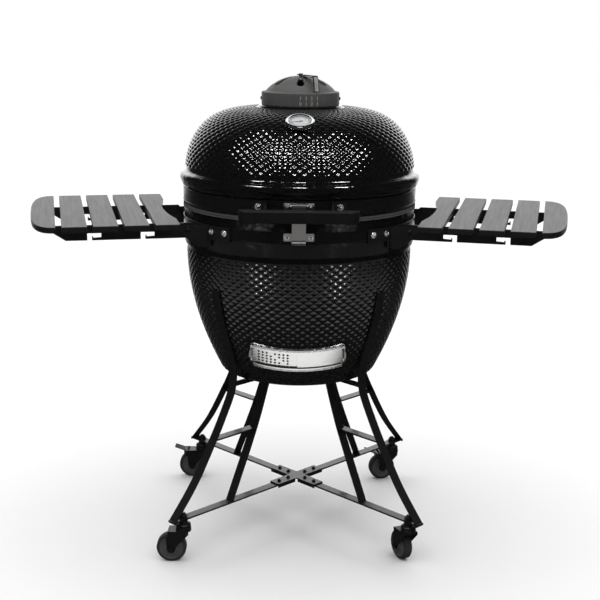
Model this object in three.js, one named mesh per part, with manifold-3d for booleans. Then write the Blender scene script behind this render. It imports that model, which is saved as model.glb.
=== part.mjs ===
// Kamado ceramic grill on a wheeled four-leg cart, with two folding side shelves.
// Millimetres, +Z up. The front, with the handle and the draft door, faces -Y.
// The origin is on the floor, under the middle of the body.

import * as THREE from 'three';
import { mergeVertices } from 'three/addons/utils/BufferGeometryUtils.js';
import Module from 'manifold-3d';

const wasm = await Module();
wasm.setup();

// ---------------------------------------------------------------- driving dimensions

const GAP = 0.4; // clearance between pieces that touch
const RING_SIDES = 32; // facets round the ceramic body and its bands
const SMALL_SIDES = 8; // facets round bolts and pins

const BODY_RADIUS = 297; // ceramic where the bands clamp it
const CERAMIC_WALL = 28;
const BAND_INNER = BODY_RADIUS + GAP;
const BAND_OUTER = BAND_INNER + 2.4;
const FLANGE_INNER = BAND_OUTER + GAP; // inner face of what is bolted on a band
const FLANGE_OUTER = FLANGE_INNER + 3;

const BOWL_BOTTOM = 431;
const BOWL_SHOULDER = 765;
const BASE_RIM = 867.6;
const LID_RIM = 878.5;
const FELT_SPLIT = 873; // where the two felt rings meet
const LOWER_BAND = { bottom: 818, top: 846 };
const UPPER_BAND = { bottom: 884, top: 920 };
const LID_LIP = { radius: 310, bottom: 925, top: 958 };
const DOME_RADIUS = 293.7;
const DOME_FOOT = 968;
const DOME_HEIGHT = 151;
const VENT_HOLE_RADIUS = 72;
const COLLAR_TOP = 1123.4;

const HINGE = { y: 364, z: 873, pinRadius: 6, earRadius: 18 };
const HANDLE = { halfLength: 140, back: -335, front: -365, bottom: 877, top: 906 };
const LATCH_PIN = { y: -314, z: 911 };

const VENT = { radius: 99, bottom: COLLAR_TOP + GAP, ledge: 1157, top: 1196, wall: 4 };
const VENT_SLOTS = 6;
const LEVER_ANGLE = 25; // degrees to the right of the front, the fully open place

const THERMOMETER = { y: -222, z: 1091, tilt: 23, radius: 35, restAngle: 105 };

const DRAFT = { tilt: 21, axisHeight: 611.5, radius: 257.2, halfHeight: 32, halfAngle: 27.5 };

const SHELF_SWEEP = 12.3; // degrees that each shelf points forward of straight sideways
const SHELF_TOP = 866;
const SLAT = { count: 5, thickness: 14, length: 509, width: 57.6, pitch: 71.6, inner: 337 };
const RAIL = { offset: 145, thickness: 4, height: 37 };
const BRACKET_OFFSET = RAIL.offset + 7; // each bracket stands just outside its rail
const SHELF_PIVOT = { x: 308, z: 836 };

const BAR = { width: 25, thickness: 4.5 }; // flat bar of the cart
const LOWER_BAR_TOP = 115.5;
const FOOT_RADIUS = 437;
const CROSS_BOLTS = [32, 66]; // distances of the cross plate's bolts from the middle
const STEM_RADIUS_OUT = 400; // distance of each caster stem from the middle
const WHEEL = { radius: 37.5, trail: 30, halfWidth: 12 };

// ---------------------------------------------------------------- materials

function finish(color, roughness, metalness) {
  return () => new THREE.MeshStandardMaterial({ color, roughness, metalness });
}

const glazedCeramic = finish(0x0b0b0d, 0.12, 0);
const rawCeramic = finish(0xb9a68c, 0.85, 0);
const powderCoat = finish(0x151516, 0.5, 0.2);
const bandSteel = finish(0x111112, 0.35, 0.5);
const castIron = finish(0x3f3f41, 0.55, 0.6);
const stainless = finish(0xd8d8d6, 0.25, 1);
const darkStainless = finish(0x6c6b68, 0.35, 1);
const chrome = finish(0xe9e9ec, 0.06, 1);
const felt = finish(0x8c8c8a, 0.95, 0);
const stainedWood = finish(0x6f6e6c, 0.6, 0);
const wheelPlastic = finish(0x1c1c1d, 0.6, 0);
const springSteel = finish(0x8f8f90, 0.3, 1);

// ---------------------------------------------------------------- solids

// A closed geometry becomes one solid, with its faces turned outwards.
function solidOf(shape) {
  if (shape.getMesh) {
    return shape;
  }
  const bare = shape.clone();
  bare.deleteAttribute('normal');
  bare.deleteAttribute('uv');
  const merged = mergeVertices(bare, 1e-3);
  const vertProperties = new Float32Array(merged.attributes.position.array);
  const index = merged.index.array;
  const corner = (i) => new THREE.Vector3().fromArray(vertProperties, 3 * i);
  const faces = [];
  let volume = 0;
  for (let i = 0; i < index.length; i += 3) {
    const [a, b, c] = [index[i], index[i + 1], index[i + 2]];
    if (a !== b && b !== c && c !== a) {
      faces.push(a, b, c);
      volume += corner(a).dot(corner(b).cross(corner(c)));
    }
  }
  if (volume < 0) {
    faces.reverse();
  }
  const triVerts = new Uint32Array(faces);
  return new wasm.Manifold(new wasm.Mesh({ numProp: 3, vertProperties, triVerts }));
}

function join(first, ...others) {
  return others.reduce((sum, next) => sum.add(solidOf(next)), solidOf(first));
}

function cut(first, ...others) {
  return others.reduce((rest, next) => rest.subtract(solidOf(next)), solidOf(first));
}

function piece(name, shape, material) {
  const { vertProperties, triVerts } = solidOf(shape).getMesh();
  const geometry = new THREE.BufferGeometry();
  geometry.setAttribute('position', new THREE.BufferAttribute(vertProperties, 3));
  geometry.setIndex(new THREE.BufferAttribute(triVerts, 1));
  geometry.computeVertexNormals();
  const mesh = new THREE.Mesh(geometry, material());
  mesh.name = name;
  return mesh;
}

function radians(degrees) {
  return THREE.MathUtils.degToRad(degrees);
}

// The point at a radius and an angle, in degrees from the front towards +X.
function around(radius, angle, z = 0) {
  return [radius * Math.sin(radians(angle)), -radius * Math.cos(radians(angle)), z];
}

// A block between two opposite corners.
function block([x0, y0, z0], [x1, y1, z1]) {
  const box = new THREE.BoxGeometry(Math.abs(x1 - x0), Math.abs(y1 - y0), Math.abs(z1 - z0));
  return box.translate((x0 + x1) / 2, (y0 + y1) / 2, (z0 + z1) / 2);
}

// A round bar between two points.
function rod(radius, from, to, sides = SMALL_SIDES) {
  const start = new THREE.Vector3(...from);
  const along = new THREE.Vector3(...to).sub(start);
  const bar = new THREE.CylinderGeometry(radius, radius, along.length(), sides);
  const turn = new THREE.Quaternion().setFromUnitVectors(
    new THREE.Vector3(0, 1, 0),
    along.clone().normalize(),
  );
  return bar.applyQuaternion(turn).translate(...start.addScaledVector(along, 0.5).toArray());
}

// A turned solid about the Z axis from [radius, z] points.
function turned(profile, sides = RING_SIDES) {
  const points = profile.map(([radius, z]) => new THREE.Vector2(radius, z));
  const onAxis = points[0].x === 0 && points.at(-1).x === 0;
  if (!onAxis) {
    points.push(points[0].clone());
  }
  return new THREE.LatheGeometry(points, sides).rotateX(Math.PI / 2);
}

function ring(inner, outer, bottom, top, sides) {
  return turned([[inner, bottom], [outer, bottom], [outer, top], [inner, top]], sides);
}

function outlineOf(points) {
  return new THREE.Shape(points.map(([x, y]) => new THREE.Vector2(x, y)));
}

// A flat outline in X and Y, raised from one height to another.
function slab(shape, bottom, top, curveSegments = 12) {
  const outline = Array.isArray(shape) ? outlineOf(shape) : shape;
  const options = { depth: top - bottom, bevelEnabled: false, curveSegments };
  return new THREE.ExtrudeGeometry(outline, options).translate(0, 0, bottom);
}

// An outline in X and Z, thickened along Y.
function uprightPlate(shape, y0, y1, curveSegments) {
  return slab(shape, -y1, -y0, curveSegments).rotateX(Math.PI / 2);
}

// An outline in Y and Z, thickened along X.
function sidePlate(shape, x0, x1, curveSegments) {
  const basis = new THREE.Matrix4().makeBasis(
    new THREE.Vector3(0, 1, 0),
    new THREE.Vector3(0, 0, 1),
    new THREE.Vector3(1, 0, 0),
  );
  return slab(shape, x0, x1, curveSegments).applyMatrix4(basis);
}

// A piece of a cylinder wall between two angles from the front.
function curvedPlate(inner, outer, from, to, bottom, top, curveSegments = 6) {
  const [start, end] = [radians(from - 90), radians(to - 90)];
  const shape = new THREE.Shape();
  shape.absarc(0, 0, outer, start, end, false);
  shape.absarc(0, 0, inner, end, start, true);
  shape.closePath();
  return slab(shape, bottom, top, curveSegments);
}

// The outline of a strip of even thickness along a curve in a plane.
function stripOutline(curve, thickness, divisions) {
  const sides = [[], []];
  for (let i = 0; i <= divisions; i += 1) {
    const t = i / divisions;
    const middle = curve.getPoint(t);
    const along = curve.getTangent(t);
    const across = new THREE.Vector2(-along.y, along.x).multiplyScalar(thickness / 2);
    sides[0].push(middle.clone().add(across));
    sides[1].unshift(middle.clone().sub(across));
  }
  return new THREE.Shape([...sides[0], ...sides[1]]);
}

// A bolt that stands out of a face: a hexagon on a washer.
function boltHead(from, direction, size = 6) {
  const at = (distance) => from.map((value, i) => value + direction[i] * distance);
  return join(rod(size * 1.25, at(-1), at(1.5), 8), rod(size, at(0), at(size * 1.3), 6));
}

// What is left of a shape outside the clamped bands, whichever way the shape is turned.
function clearOfBand(shape) {
  return cut(shape, ring(200, FLANGE_INNER / Math.cos(Math.PI / RING_SIDES), 780, 960));
}

function placed(group, { position = [0, 0, 0], turnX = 0, turnZ = 0 }) {
  group.position.set(...position);
  group.rotation.set(radians(turnX), 0, radians(turnZ));
  return group;
}

// ---------------------------------------------------------------- lid and base ceramics

// The dome swells like a superellipse over the lip.
function domeCurve(radius, height, points, endRadius) {
  const curve = [];
  for (let i = 0; i <= points; i += 1) {
    const r = radius - (radius - endRadius) * (i / points) ** 1.7;
    const rise = (1 - (r / radius) ** 5.08) ** (1 / 1.67);
    curve.push([r, DOME_FOOT + height * rise]);
  }
  return curve;
}

function lidDome() {
  const inner = BODY_RADIUS - CERAMIC_WALL;
  const outside = domeCurve(DOME_RADIUS, DOME_HEIGHT, 7, 108);
  const inside = domeCurve(inner, DOME_HEIGHT - 24, 4, VENT_HOLE_RADIUS);
  const shell = turned([
    [inner, LID_RIM],
    [BODY_RADIUS, LID_RIM],
    [BODY_RADIUS, UPPER_BAND.top + 2],
    [LID_LIP.radius - 7, LID_LIP.bottom],
    [LID_LIP.radius, LID_LIP.top - 14],
    [LID_LIP.radius, LID_LIP.top - 6],
    [LID_LIP.radius - 5, LID_LIP.top],
    [DOME_RADIUS, LID_LIP.top + 2],
    ...outside,
    [106, COLLAR_TOP],
    [VENT_HOLE_RADIUS, COLLAR_TOP],
    ...inside.reverse(),
  ]);
  return cut(shell, ...thermometerHoles());
}

// The outside of the bowl below its shoulder is one smooth curve down to a rounded foot.
function bowlProfile() {
  const side = new THREE.CubicBezierCurve(
    new THREE.Vector2(290, BOWL_SHOULDER),
    new THREE.Vector2(292.5, 655),
    new THREE.Vector2(257, 548),
    new THREE.Vector2(205, 447),
  );
  const foot = new THREE.QuadraticBezierCurve(
    new THREE.Vector2(205, 447),
    new THREE.Vector2(196, BOWL_BOTTOM),
    new THREE.Vector2(165, BOWL_BOTTOM),
  );
  const points = [...side.getPoints(7), ...foot.getPoints(2).slice(1)];
  return points.map(({ x, y }) => [x, y]);
}

function bowlInside() {
  const side = new THREE.CubicBezierCurve(
    new THREE.Vector2(265, BOWL_SHOULDER),
    new THREE.Vector2(267, 665),
    new THREE.Vector2(232, 566),
    new THREE.Vector2(184, 474),
  );
  return side.getPoints(4).map(({ x, y }) => [x, y]);
}

function baseBowl() {
  const shell = turned([
    [0, BOWL_BOTTOM],
    ...bowlProfile().reverse(),
    [294, 777],
    [BODY_RADIUS, 786],
    [BODY_RADIUS, BASE_RIM],
    [BODY_RADIUS - CERAMIC_WALL, BASE_RIM],
    ...bowlInside(),
    [160, 456],
    [0, 456],
  ]);
  return cut(shell, draftOpening());
}

function ceramics() {
  const group = new THREE.Group();
  group.add(
    piece('lid_dome', lidDome(), glazedCeramic),
    piece('base_bowl', baseBowl(), glazedCeramic),
  );
  return group;
}

// ---------------------------------------------------------------- bands and felt

function bandsAndFelt() {
  const group = new THREE.Group();
  const feltInner = BODY_RADIUS - CERAMIC_WALL + 2;
  const feltOuter = BODY_RADIUS + 2.5;
  const band = ({ bottom, top }) => ring(BAND_INNER, BAND_OUTER, bottom, top);
  group.add(
    piece('lid_band', band(UPPER_BAND), bandSteel),
    piece('base_band', band(LOWER_BAND), bandSteel),
    piece('lid_gasket', ring(feltInner, feltOuter, FELT_SPLIT + GAP / 2, LID_RIM - GAP), felt),
    piece('base_gasket', ring(feltInner, feltOuter, BASE_RIM + GAP, FELT_SPLIT - GAP / 2), felt),
  );
  return group;
}

// ---------------------------------------------------------------- inside the base

function fireBox() {
  const shell = turned([
    [0, 457],
    [148, 457],
    [170, 468],
    [206, 543],
    [228, 616],
    [240, 700],
    [242, 722],
    [218, 722],
    [204, 616],
    [190, 556],
    [168, 556],
    [150, 482],
    [0, 482],
  ], 24);
  const draft = block([-80, -260, 492], [80, -120, 548]);
  const airHoles = [];
  for (const angle of [90, 180, 270]) {
    airHoles.push(rod(9, around(200, angle, 640), around(260, angle, 640), 6));
  }
  return cut(shell, draft, ...airHoles);
}

// A round grate: a disc with rows of slots on both sides of a middle bar.
function slottedGrate({ radius, bottom, top, rim, pitch, slot, middleBar }) {
  const slots = [];
  const reach = radius - rim;
  for (let x = 0; x + slot < reach; x += pitch) {
    const length = Math.sqrt(reach ** 2 - (x + slot / 2) ** 2);
    for (const across of x === 0 ? [0] : [-x, x]) {
      for (const side of [-1, 1]) {
        slots.push(block(
          [across - slot / 2, side * middleBar, bottom - 1],
          [across + slot / 2, side * length, top + 1],
        ));
      }
    }
  }
  const disc = turned([[0, bottom], [radius, bottom], [radius, top], [0, top]], 24);
  return cut(disc, ...slots);
}

function insideBase() {
  const group = new THREE.Group();
  const fireRing = turned([[222, 722 + GAP], [246, 722 + GAP], [262, 839], [238, 839]], 24);
  const charcoalGrate = slottedGrate({
    radius: 186, bottom: 556 + GAP, top: 563, rim: 18, pitch: 30, slot: 14, middleBar: 9,
  });
  const cookingGrate = slottedGrate({
    radius: 260, bottom: 839 + GAP, top: 847, rim: 8, pitch: 27, slot: 20, middleBar: 4,
  });
  group.add(
    piece('fire_box', fireBox(), rawCeramic),
    piece('fire_ring', fireRing, rawCeramic),
    piece('charcoal_grate', charcoalGrate, castIron),
    piece('cooking_grate', cookingGrate, castIron),
  );
  return group;
}

// ---------------------------------------------------------------- rear hinge

// One upright plate of the hinge: it runs from the band out to a round eye for the pin.
function hingeEye({ x0, x1, bottom, top, eye }) {
  const shape = new THREE.Shape();
  shape.moveTo(296, bottom);
  shape.lineTo(HINGE.y - 12, Math.min(bottom, HINGE.z - eye));
  shape.absarc(HINGE.y, HINGE.z, eye, -Math.PI / 2, Math.PI * 0.65, false);
  shape.lineTo(296, top);
  shape.closePath();
  return clearOfBand(sidePlate(shape, x0, x1, 5));
}

// One leaf of the hinge: a plate on its band with two eyes, and a bolt at each end.
function hingeLeaf({ bottom, top, boltHeight, eyes }) {
  const angleOf = (x) => 180 - (180 / Math.PI) * (x / FLANGE_OUTER);
  const plate = curvedPlate(FLANGE_INNER, FLANGE_OUTER, angleOf(68), angleOf(-68), bottom, top, 5);
  const { inner, outer, radius, low, high } = eyes;
  const plates = [-1, 1].map((side) =>
    hingeEye({ x0: side * inner, x1: side * outer, bottom: low, top: high, eye: radius }));
  const boreRadius = (HINGE.pinRadius + GAP) / Math.cos(Math.PI / SMALL_SIDES);
  const bore = rod(boreRadius, [-60, HINGE.y, HINGE.z], [60, HINGE.y, HINGE.z]);
  const bolts = [-57, 57].map((x) =>
    boltHead(around(FLANGE_OUTER, angleOf(x), boltHeight), around(1, angleOf(x))));
  return join(cut(join(plate, ...plates), bore), ...bolts);
}

function hingeBase() {
  const eyes = { inner: 40, outer: 45, radius: HINGE.earRadius, low: 812, high: 846 };
  return hingeLeaf({ bottom: 806, top: 846, boltHeight: 832, eyes });
}

// The lid's eyes sit just inside those of the base.
function hingeArm() {
  const eyes = { inner: 33, outer: 39, radius: 13, low: 889, high: 917 };
  return hingeLeaf({ bottom: 886, top: 918, boltHeight: 904, eyes });
}

function hingePin() {
  const along = (x) => [x, HINGE.y, HINGE.z];
  return join(
    rod(HINGE.pinRadius, along(-49), along(49)),
    rod(9, along(-49), along(-46)),
    rod(9, along(46), along(49)),
  );
}

class Coil extends THREE.Curve {
  constructor(turns, radius, length) {
    super();
    Object.assign(this, { turns, radius, length });
  }

  getPoint(t, target = new THREE.Vector3()) {
    const angle = 2 * Math.PI * this.turns * t;
    const x = this.length * (t - 0.5);
    return target.set(x, this.radius * Math.cos(angle), this.radius * Math.sin(angle));
  }
}

function hingeSpring() {
  const wire = new THREE.Shape();
  wire.absarc(0, 0, 2, 0, 2 * Math.PI, false);
  const coil = new THREE.ExtrudeGeometry(wire, {
    steps: 40,
    curveSegments: 2.5,
    bevelEnabled: false,
    extrudePath: new Coil(5, 10.5, 50),
  });
  return coil.translate(0, HINGE.y, HINGE.z);
}

function hinge() {
  const group = new THREE.Group();
  group.add(
    piece('hinge_base', hingeBase(), powderCoat),
    piece('hinge_arm', hingeArm(), powderCoat),
    piece('hinge_pin', hingePin(), springSteel),
    piece('hinge_spring', hingeSpring(), springSteel),
  );
  return group;
}

// ---------------------------------------------------------------- handle and latch

function handleGrip() {
  const { halfLength, back, front, bottom, top } = HANDLE;
  const bevel = 3;
  const shape = outlineOf([
    [-halfLength + bevel, back - bevel],
    [-halfLength + bevel, back - 14],
    [-halfLength + 14, front + bevel],
    [halfLength - 14, front + bevel],
    [halfLength - bevel, back - 14],
    [halfLength - bevel, back - bevel],
  ]);
  const bar = new THREE.ExtrudeGeometry(shape, {
    depth: top - bottom - 2 * bevel,
    bevelSize: bevel,
    bevelThickness: bevel,
    bevelSegments: 2,
  });
  return bar.translate(0, 0, bottom + bevel);
}

function handleArm(side) {
  const [from, to] = side > 0 ? [14.5, 21.5] : [-21.5, -14.5];
  const flange = curvedPlate(FLANGE_INNER, FLANGE_OUTER, from, to, 893, 917, 3);
  const arm = sidePlate(
    [[-290, 893], [-290, 915], [HANDLE.back + GAP, 903], [HANDLE.back + GAP, 881]],
    side * 77,
    side * 80,
  );
  const bolt = boltHead(around(FLANGE_OUTER, side * 18.6, 905), around(1, side * 18.6));
  return join(flange, clearOfBand(arm), bolt);
}

function latchBracket() {
  const flange = curvedPlate(FLANGE_INNER, FLANGE_OUTER, -6.9, 6.9, 898, 916, 4);
  const ear = [[-300.5, 899], [-300.5, 916], [-317, 916], [-319, 911], [-317, 904]];
  const ears = [-1, 1].map((side) => sidePlate(ear, side * 18.3, side * 20.3));
  const pin = rod(2, [-20, LATCH_PIN.y, LATCH_PIN.z], [20, LATCH_PIN.y, LATCH_PIN.z], 8);
  const bolts = [-5.15, 5.15].map((angle) =>
    boltHead(around(FLANGE_OUTER, angle, 907), around(1, angle), 4.5));
  return join(flange, ...ears, pin, ...bolts);
}

// A spring strap that hangs behind the handle from a rolled eye round the pin.
function latchPlate() {
  const eye = rod(4.4, [-17, LATCH_PIN.y, LATCH_PIN.z], [17, LATCH_PIN.y, LATCH_PIN.z]);
  const strap = sidePlate(
    [[-316.4, 911], [-318.4, 911], [-320.4, 828], [-326, 820], [-324, 818.6], [-318.4, 827]],
    -16.5,
    16.5,
  );
  const bore = rod(2.5, [-20, LATCH_PIN.y, LATCH_PIN.z], [20, LATCH_PIN.y, LATCH_PIN.z], 8);
  return cut(join(eye, strap), bore);
}

function latchCatch() {
  const flange = curvedPlate(FLANGE_INNER, FLANGE_OUTER, -6.9, 6.9, 825, 844, 4);
  const seat = sidePlate(
    [[-302, 828], [-302, 842], [-312, 840], [-316.2, 835], [-312, 830]],
    -15,
    15,
  );
  const bolts = [-5.3, 5.3].map((angle) =>
    boltHead(around(FLANGE_OUTER, angle, 834), around(1, angle), 4.5));
  return join(flange, seat, ...bolts);
}

function frontHardware() {
  const group = new THREE.Group();
  group.add(
    piece('handle_grip', handleGrip(), powderCoat),
    piece('handle_arm_left', handleArm(-1), powderCoat),
    piece('handle_arm_right', handleArm(1), powderCoat),
    piece('latch_bracket', latchBracket(), stainless),
    piece('latch_plate', latchPlate(), darkStainless),
    piece('latch_catch', latchCatch(), stainless),
  );
  return group;
}

// ---------------------------------------------------------------- thermometer

const thermometerPlace = {
  position: [0, THERMOMETER.y, THERMOMETER.z],
  turnX: THERMOMETER.tilt,
};

// The bore for the probe and, above it, a round seat that the case sits in.
function thermometerHoles() {
  const bore = rod(5, [0, 0, -60], [0, 0, 20]);
  const seat = rod(THERMOMETER.radius + 2 * GAP, [0, 0, 3 - GAP], [0, 0, 40], 20);
  return [bore, seat].map((hole) => {
    hole.rotateX(radians(THERMOMETER.tilt));
    return hole.translate(0, THERMOMETER.y, THERMOMETER.z);
  });
}

// A dial in a bezel, on a probe that passes through the dome.
function thermometer() {
  const { radius } = THERMOMETER;
  const body = turned([
    [0, -95],
    [4, -92],
    [4, 3],
    [radius - 5, 3],
    [radius, 6],
    [radius, 11],
    [radius - 3, 13.5],
    [radius - 7, 12.5],
    [radius - 8, 9],
    [0, 9],
  ], 20);
  const needle = outlineOf([[-1.6, -7], [1.6, -7], [0.5, 23], [-0.5, 23]]);
  const pointer = slab(needle, 9 + GAP, 10.2).rotateZ(radians(THERMOMETER.restAngle));
  const group = placed(new THREE.Group(), thermometerPlace);
  group.add(
    piece('thermometer_case', body, chrome),
    piece('thermometer_pointer', pointer, wheelPlastic),
  );
  return group;
}

// ---------------------------------------------------------------- top vent

// One teardrop draught slot, with its wide round end towards the rim.
function ventSlot(index) {
  const shape = new THREE.Shape();
  shape.absarc(0, -62, 10.5, Math.PI + 0.15, 2 * Math.PI - 0.15, false);
  shape.lineTo(2.5, -25);
  shape.lineTo(-2.5, -25);
  shape.closePath();
  return slab(shape, 1150, 1210, 4).rotateZ((2 * Math.PI * index) / VENT_SLOTS);
}

function ventSlots() {
  return Array.from({ length: VENT_SLOTS }, (_, index) => ventSlot(index));
}

function ventCap() {
  const { radius, bottom, ledge, top, wall } = VENT;
  const shell = turned([
    [radius, bottom],
    [radius, ledge - 1],
    [radius - 10, ledge + 3],
    [74, ledge + 17],
    [54, ledge + 29],
    [24, top - 2],
    [5, top],
    [5, top - wall],
    [52, ledge + 24.5],
    [71, ledge + 13],
    [radius - 12, ledge - 2],
    [radius - 5, ledge - 4],
    [radius - 5, bottom],
  ], 24);
  const screws = [-90, 90].map((angle) =>
    rod(3.5, around(radius - 2, angle, 1140), around(radius + 3, angle, 1140), 8));
  return join(cut(shell, ...ventSlots()), ...screws);
}

// A second slotted shell turns under the cap, and a bent strap over the cap moves it.
function ventDamper() {
  const { ledge, top, wall } = VENT;
  const under = top - wall - 2.4;
  const shell = turned([
    [0, under],
    [50, ledge + 23],
    [69, ledge + 11],
    [82, ledge - 2],
    [79, ledge - 4],
    [67, ledge + 8.5],
    [49, ledge + 20],
    [0, under - 3],
  ], 24);
  const shaft = rod(4.4, [0, 0, under - 2], [0, 0, top + 4]);
  const strap = sidePlate(
    [[8, top + 1], [8, top + 4], [-90, top + 4], [-95, ledge + 4], [-92, ledge + 4],
      [-87, top + 1]],
    -7.5,
    7.5,
  );
  strap.rotateZ(radians(LEVER_ANGLE));
  const rivet = rod(7, [0, 0, top + 3.5], [0, 0, top + 6]);
  return join(cut(shell, ...ventSlots()), shaft, strap, rivet);
}

function topVent() {
  const group = new THREE.Group();
  group.add(
    piece('vent_cap', ventCap(), castIron),
    piece('vent_damper', ventDamper(), powderCoat),
  );
  return group;
}

// ---------------------------------------------------------------- draft door

// The draft door is a tilted piece of cylinder that follows the lower front of the bowl.
// In its own frame the cylinder's axis is Z and the middle of the door is at Z = 0.
const draftPlace = { position: [0, 0, DRAFT.axisHeight], turnX: DRAFT.tilt };
const WINDOW = { from: -23, to: -2, halfHeight: 19 };

function draftOpening() {
  const hole = curvedPlate(150, 300, WINDOW.from, WINDOW.to, -20, 20, 2);
  hole.rotateX(radians(DRAFT.tilt));
  return hole.translate(0, 0, DRAFT.axisHeight);
}

function draftFrame() {
  const { radius, halfHeight, halfAngle } = DRAFT;
  const back = radius + GAP + 0.4;
  const plate = curvedPlate(back, back + 1.8, -halfAngle, halfAngle, -halfHeight, halfHeight, 7);
  const window = curvedPlate(back - 5, back + 9, WINDOW.from, WINDOW.to, -19, 19, 3);
  const rails = [-1, 1].map((side) => {
    const [low, high] = side > 0 ? [26.5, halfHeight] : [-halfHeight, -26.5];
    const [lipLow, lipHigh] = side > 0 ? [22, halfHeight] : [-halfHeight, -22];
    return join(
      curvedPlate(back + 1, back + 9, -24.5, 24.5, low, high, 7),
      curvedPlate(back + 7.2, back + 9, -24.5, 24.5, lipLow, lipHigh, 7),
    );
  });
  const screws = [-26.1, 26.1].flatMap((angle) => [-26.5, 26.5].map((z) =>
    rod(2.6, around(back + 1, angle, z), around(back + 3.4, angle, z), 6)));
  return join(cut(plate, window), ...rails, ...screws);
}

function draftScreen() {
  const [inner, outer] = [DRAFT.radius + 3.2, DRAFT.radius + 4.4];
  const sheet = curvedPlate(inner, outer, -24.6, -0.4, -26, 26, 6);
  const tongue = curvedPlate(inner, outer, -26.6, -24, -15, 15, 1);
  const holes = [];
  for (let column = 0; column < 8; column += 1) {
    for (let row = 0; row < 4; row += 1) {
      const angle = -21.5 + 2.3 * column;
      const z = -13.2 + 8.8 * row;
      holes.push(rod(2.4, around(inner - 2, angle, z), around(outer + 2, angle, z), 4));
    }
  }
  const tab = new THREE.Shape();
  tab.absarc(0, 0, 12.5, -Math.PI / 2, Math.PI / 2, false);
  tab.closePath();
  const flap = sidePlate(tab, -0.6, 0.6, 6).rotateZ(Math.PI);
  flap.rotateZ(radians(-26.4)).translate(...around(outer - 1, -26.4));
  return join(cut(sheet, ...holes), tongue, flap);
}

function draftDoor() {
  const [inner, outer] = [DRAFT.radius + 5.4, DRAFT.radius + 6.6];
  const sheet = curvedPlate(inner, outer, -0.2, 24.6, -26, 26, 6);
  const tongue = curvedPlate(inner, outer, 24, 26.2, -13, 13, 1);
  const flap = sidePlate([[0, -13], [-11, -11], [-11, 11], [0, 13]], -0.6, 0.6);
  flap.rotateZ(radians(26)).translate(...around(outer - 0.8, 26));
  return join(sheet, tongue, flap);
}

function draft() {
  const group = placed(new THREE.Group(), draftPlace);
  group.add(
    piece('draft_frame', draftFrame(), stainless),
    piece('draft_screen', draftScreen(), stainless),
    piece('draft_door', draftDoor(), stainless),
  );
  return group;
}

// ---------------------------------------------------------------- side shelves

// Each shelf is drawn pointing along +X and then swept forward. The left one is a mirror image.

function slatShape(index, side) {
  const { inner, pitch, width, length, count } = SLAT;
  const [x0, x1] = [inner + index * pitch, inner + index * pitch + width];
  const half = length / 2;
  const shape = new THREE.Shape();
  if (index === 0) {
    const notch = 167; // half length of the hollow that clears the body
    shape.moveTo(side * x0, -notch);
    shape.quadraticCurveTo(side * (x0 + 33), 0, side * x0, notch);
  } else {
    shape.moveTo(side * x0, -half);
  }
  shape.lineTo(side * x0, half);
  if (index === count - 1) {
    shape.lineTo(side * (x0 + 4), half);
    shape.bezierCurveTo(side * (x1 - 6), half, side * x1, 150, side * x1, 0);
    shape.bezierCurveTo(side * x1, -150, side * (x1 - 6), -half, side * (x0 + 4), -half);
  } else {
    shape.lineTo(side * x1, half);
    shape.lineTo(side * x1, -half);
  }
  shape.lineTo(side * x0, -half);
  shape.closePath();
  return shape;
}

// A rail under the slats: a pivot eye, two hook notches for tools and a cut-off outer corner.
function shelfRail(side, offset) {
  const top = SHELF_TOP - SLAT.thickness - GAP;
  const bottom = top - RAIL.height;
  const outer = SLAT.inner + 4 * SLAT.pitch + 24;
  const profile = [
    [SHELF_PIVOT.x - 13, bottom + 3],
    [SHELF_PIVOT.x - 13, top],
    [outer, top],
    [outer, top - 6],
    [outer - 48, bottom],
    [SHELF_PIVOT.x, bottom],
  ].map(([x, z]) => [side * x, z]);
  const plate = uprightPlate(profile, offset - RAIL.thickness / 2, offset + RAIL.thickness / 2);
  const cuts = [SLAT.inner + 52, SLAT.inner + 179].flatMap((x) => [
    block([side * x, offset - 5, bottom + 7], [side * (x + 33), offset + 5, bottom + 17]),
    block([side * (x + 22), offset - 5, bottom - 5], [side * (x + 33), offset + 5, bottom + 8]),
  ]);
  const pivot = (y) => [side * SHELF_PIVOT.x, y, SHELF_PIVOT.z];
  return cut(plate, ...cuts, rod(4.4, pivot(offset - 5), pivot(offset + 5)));
}

// A gusset from the band to the shelf's pivot bolt, outside the plane of the rail.
function shelfBracket(side, end) {
  const plane = end * BRACKET_OFFSET;
  const profile = [
    [240, 792],
    [240, 846],
    [322, 846],
    [330, 833],
    [314, 816],
    [284, 792],
  ].map(([x, z]) => [side * x, z]);
  const plate = uprightPlate(profile, plane - 1.5, plane + 1.5);
  const facing = 90 + (180 / Math.PI) * Math.asin(plane / FLANGE_INNER);
  const [from, to] = end < 0 ? [facing - 14, facing + 1] : [facing - 1, facing + 14];
  const angles = side > 0 ? [from, to] : [-to, -from];
  const flange = curvedPlate(FLANGE_INNER, FLANGE_OUTER, ...angles, 812, 846, 4);
  const bolts = [2.8, 11].map((away) => {
    const angle = side * (facing + end * away);
    return boltHead(around(FLANGE_OUTER, angle, 832), around(1, angle));
  });
  const at = (y) => [side * SHELF_PIVOT.x, y, SHELF_PIVOT.z];
  const inward = -end;
  const pivotBolt = join(
    rod(4, at(plane - end * 0.5), at(plane + inward * 13), 8),
    rod(7, at(plane + inward * 9.8), at(plane + inward * 13.5), 6),
    rod(6, at(plane + end * 1), at(plane + end * 5), 8),
  );
  return join(clearOfBand(plate), flange, ...bolts, pivotBolt);
}

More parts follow.
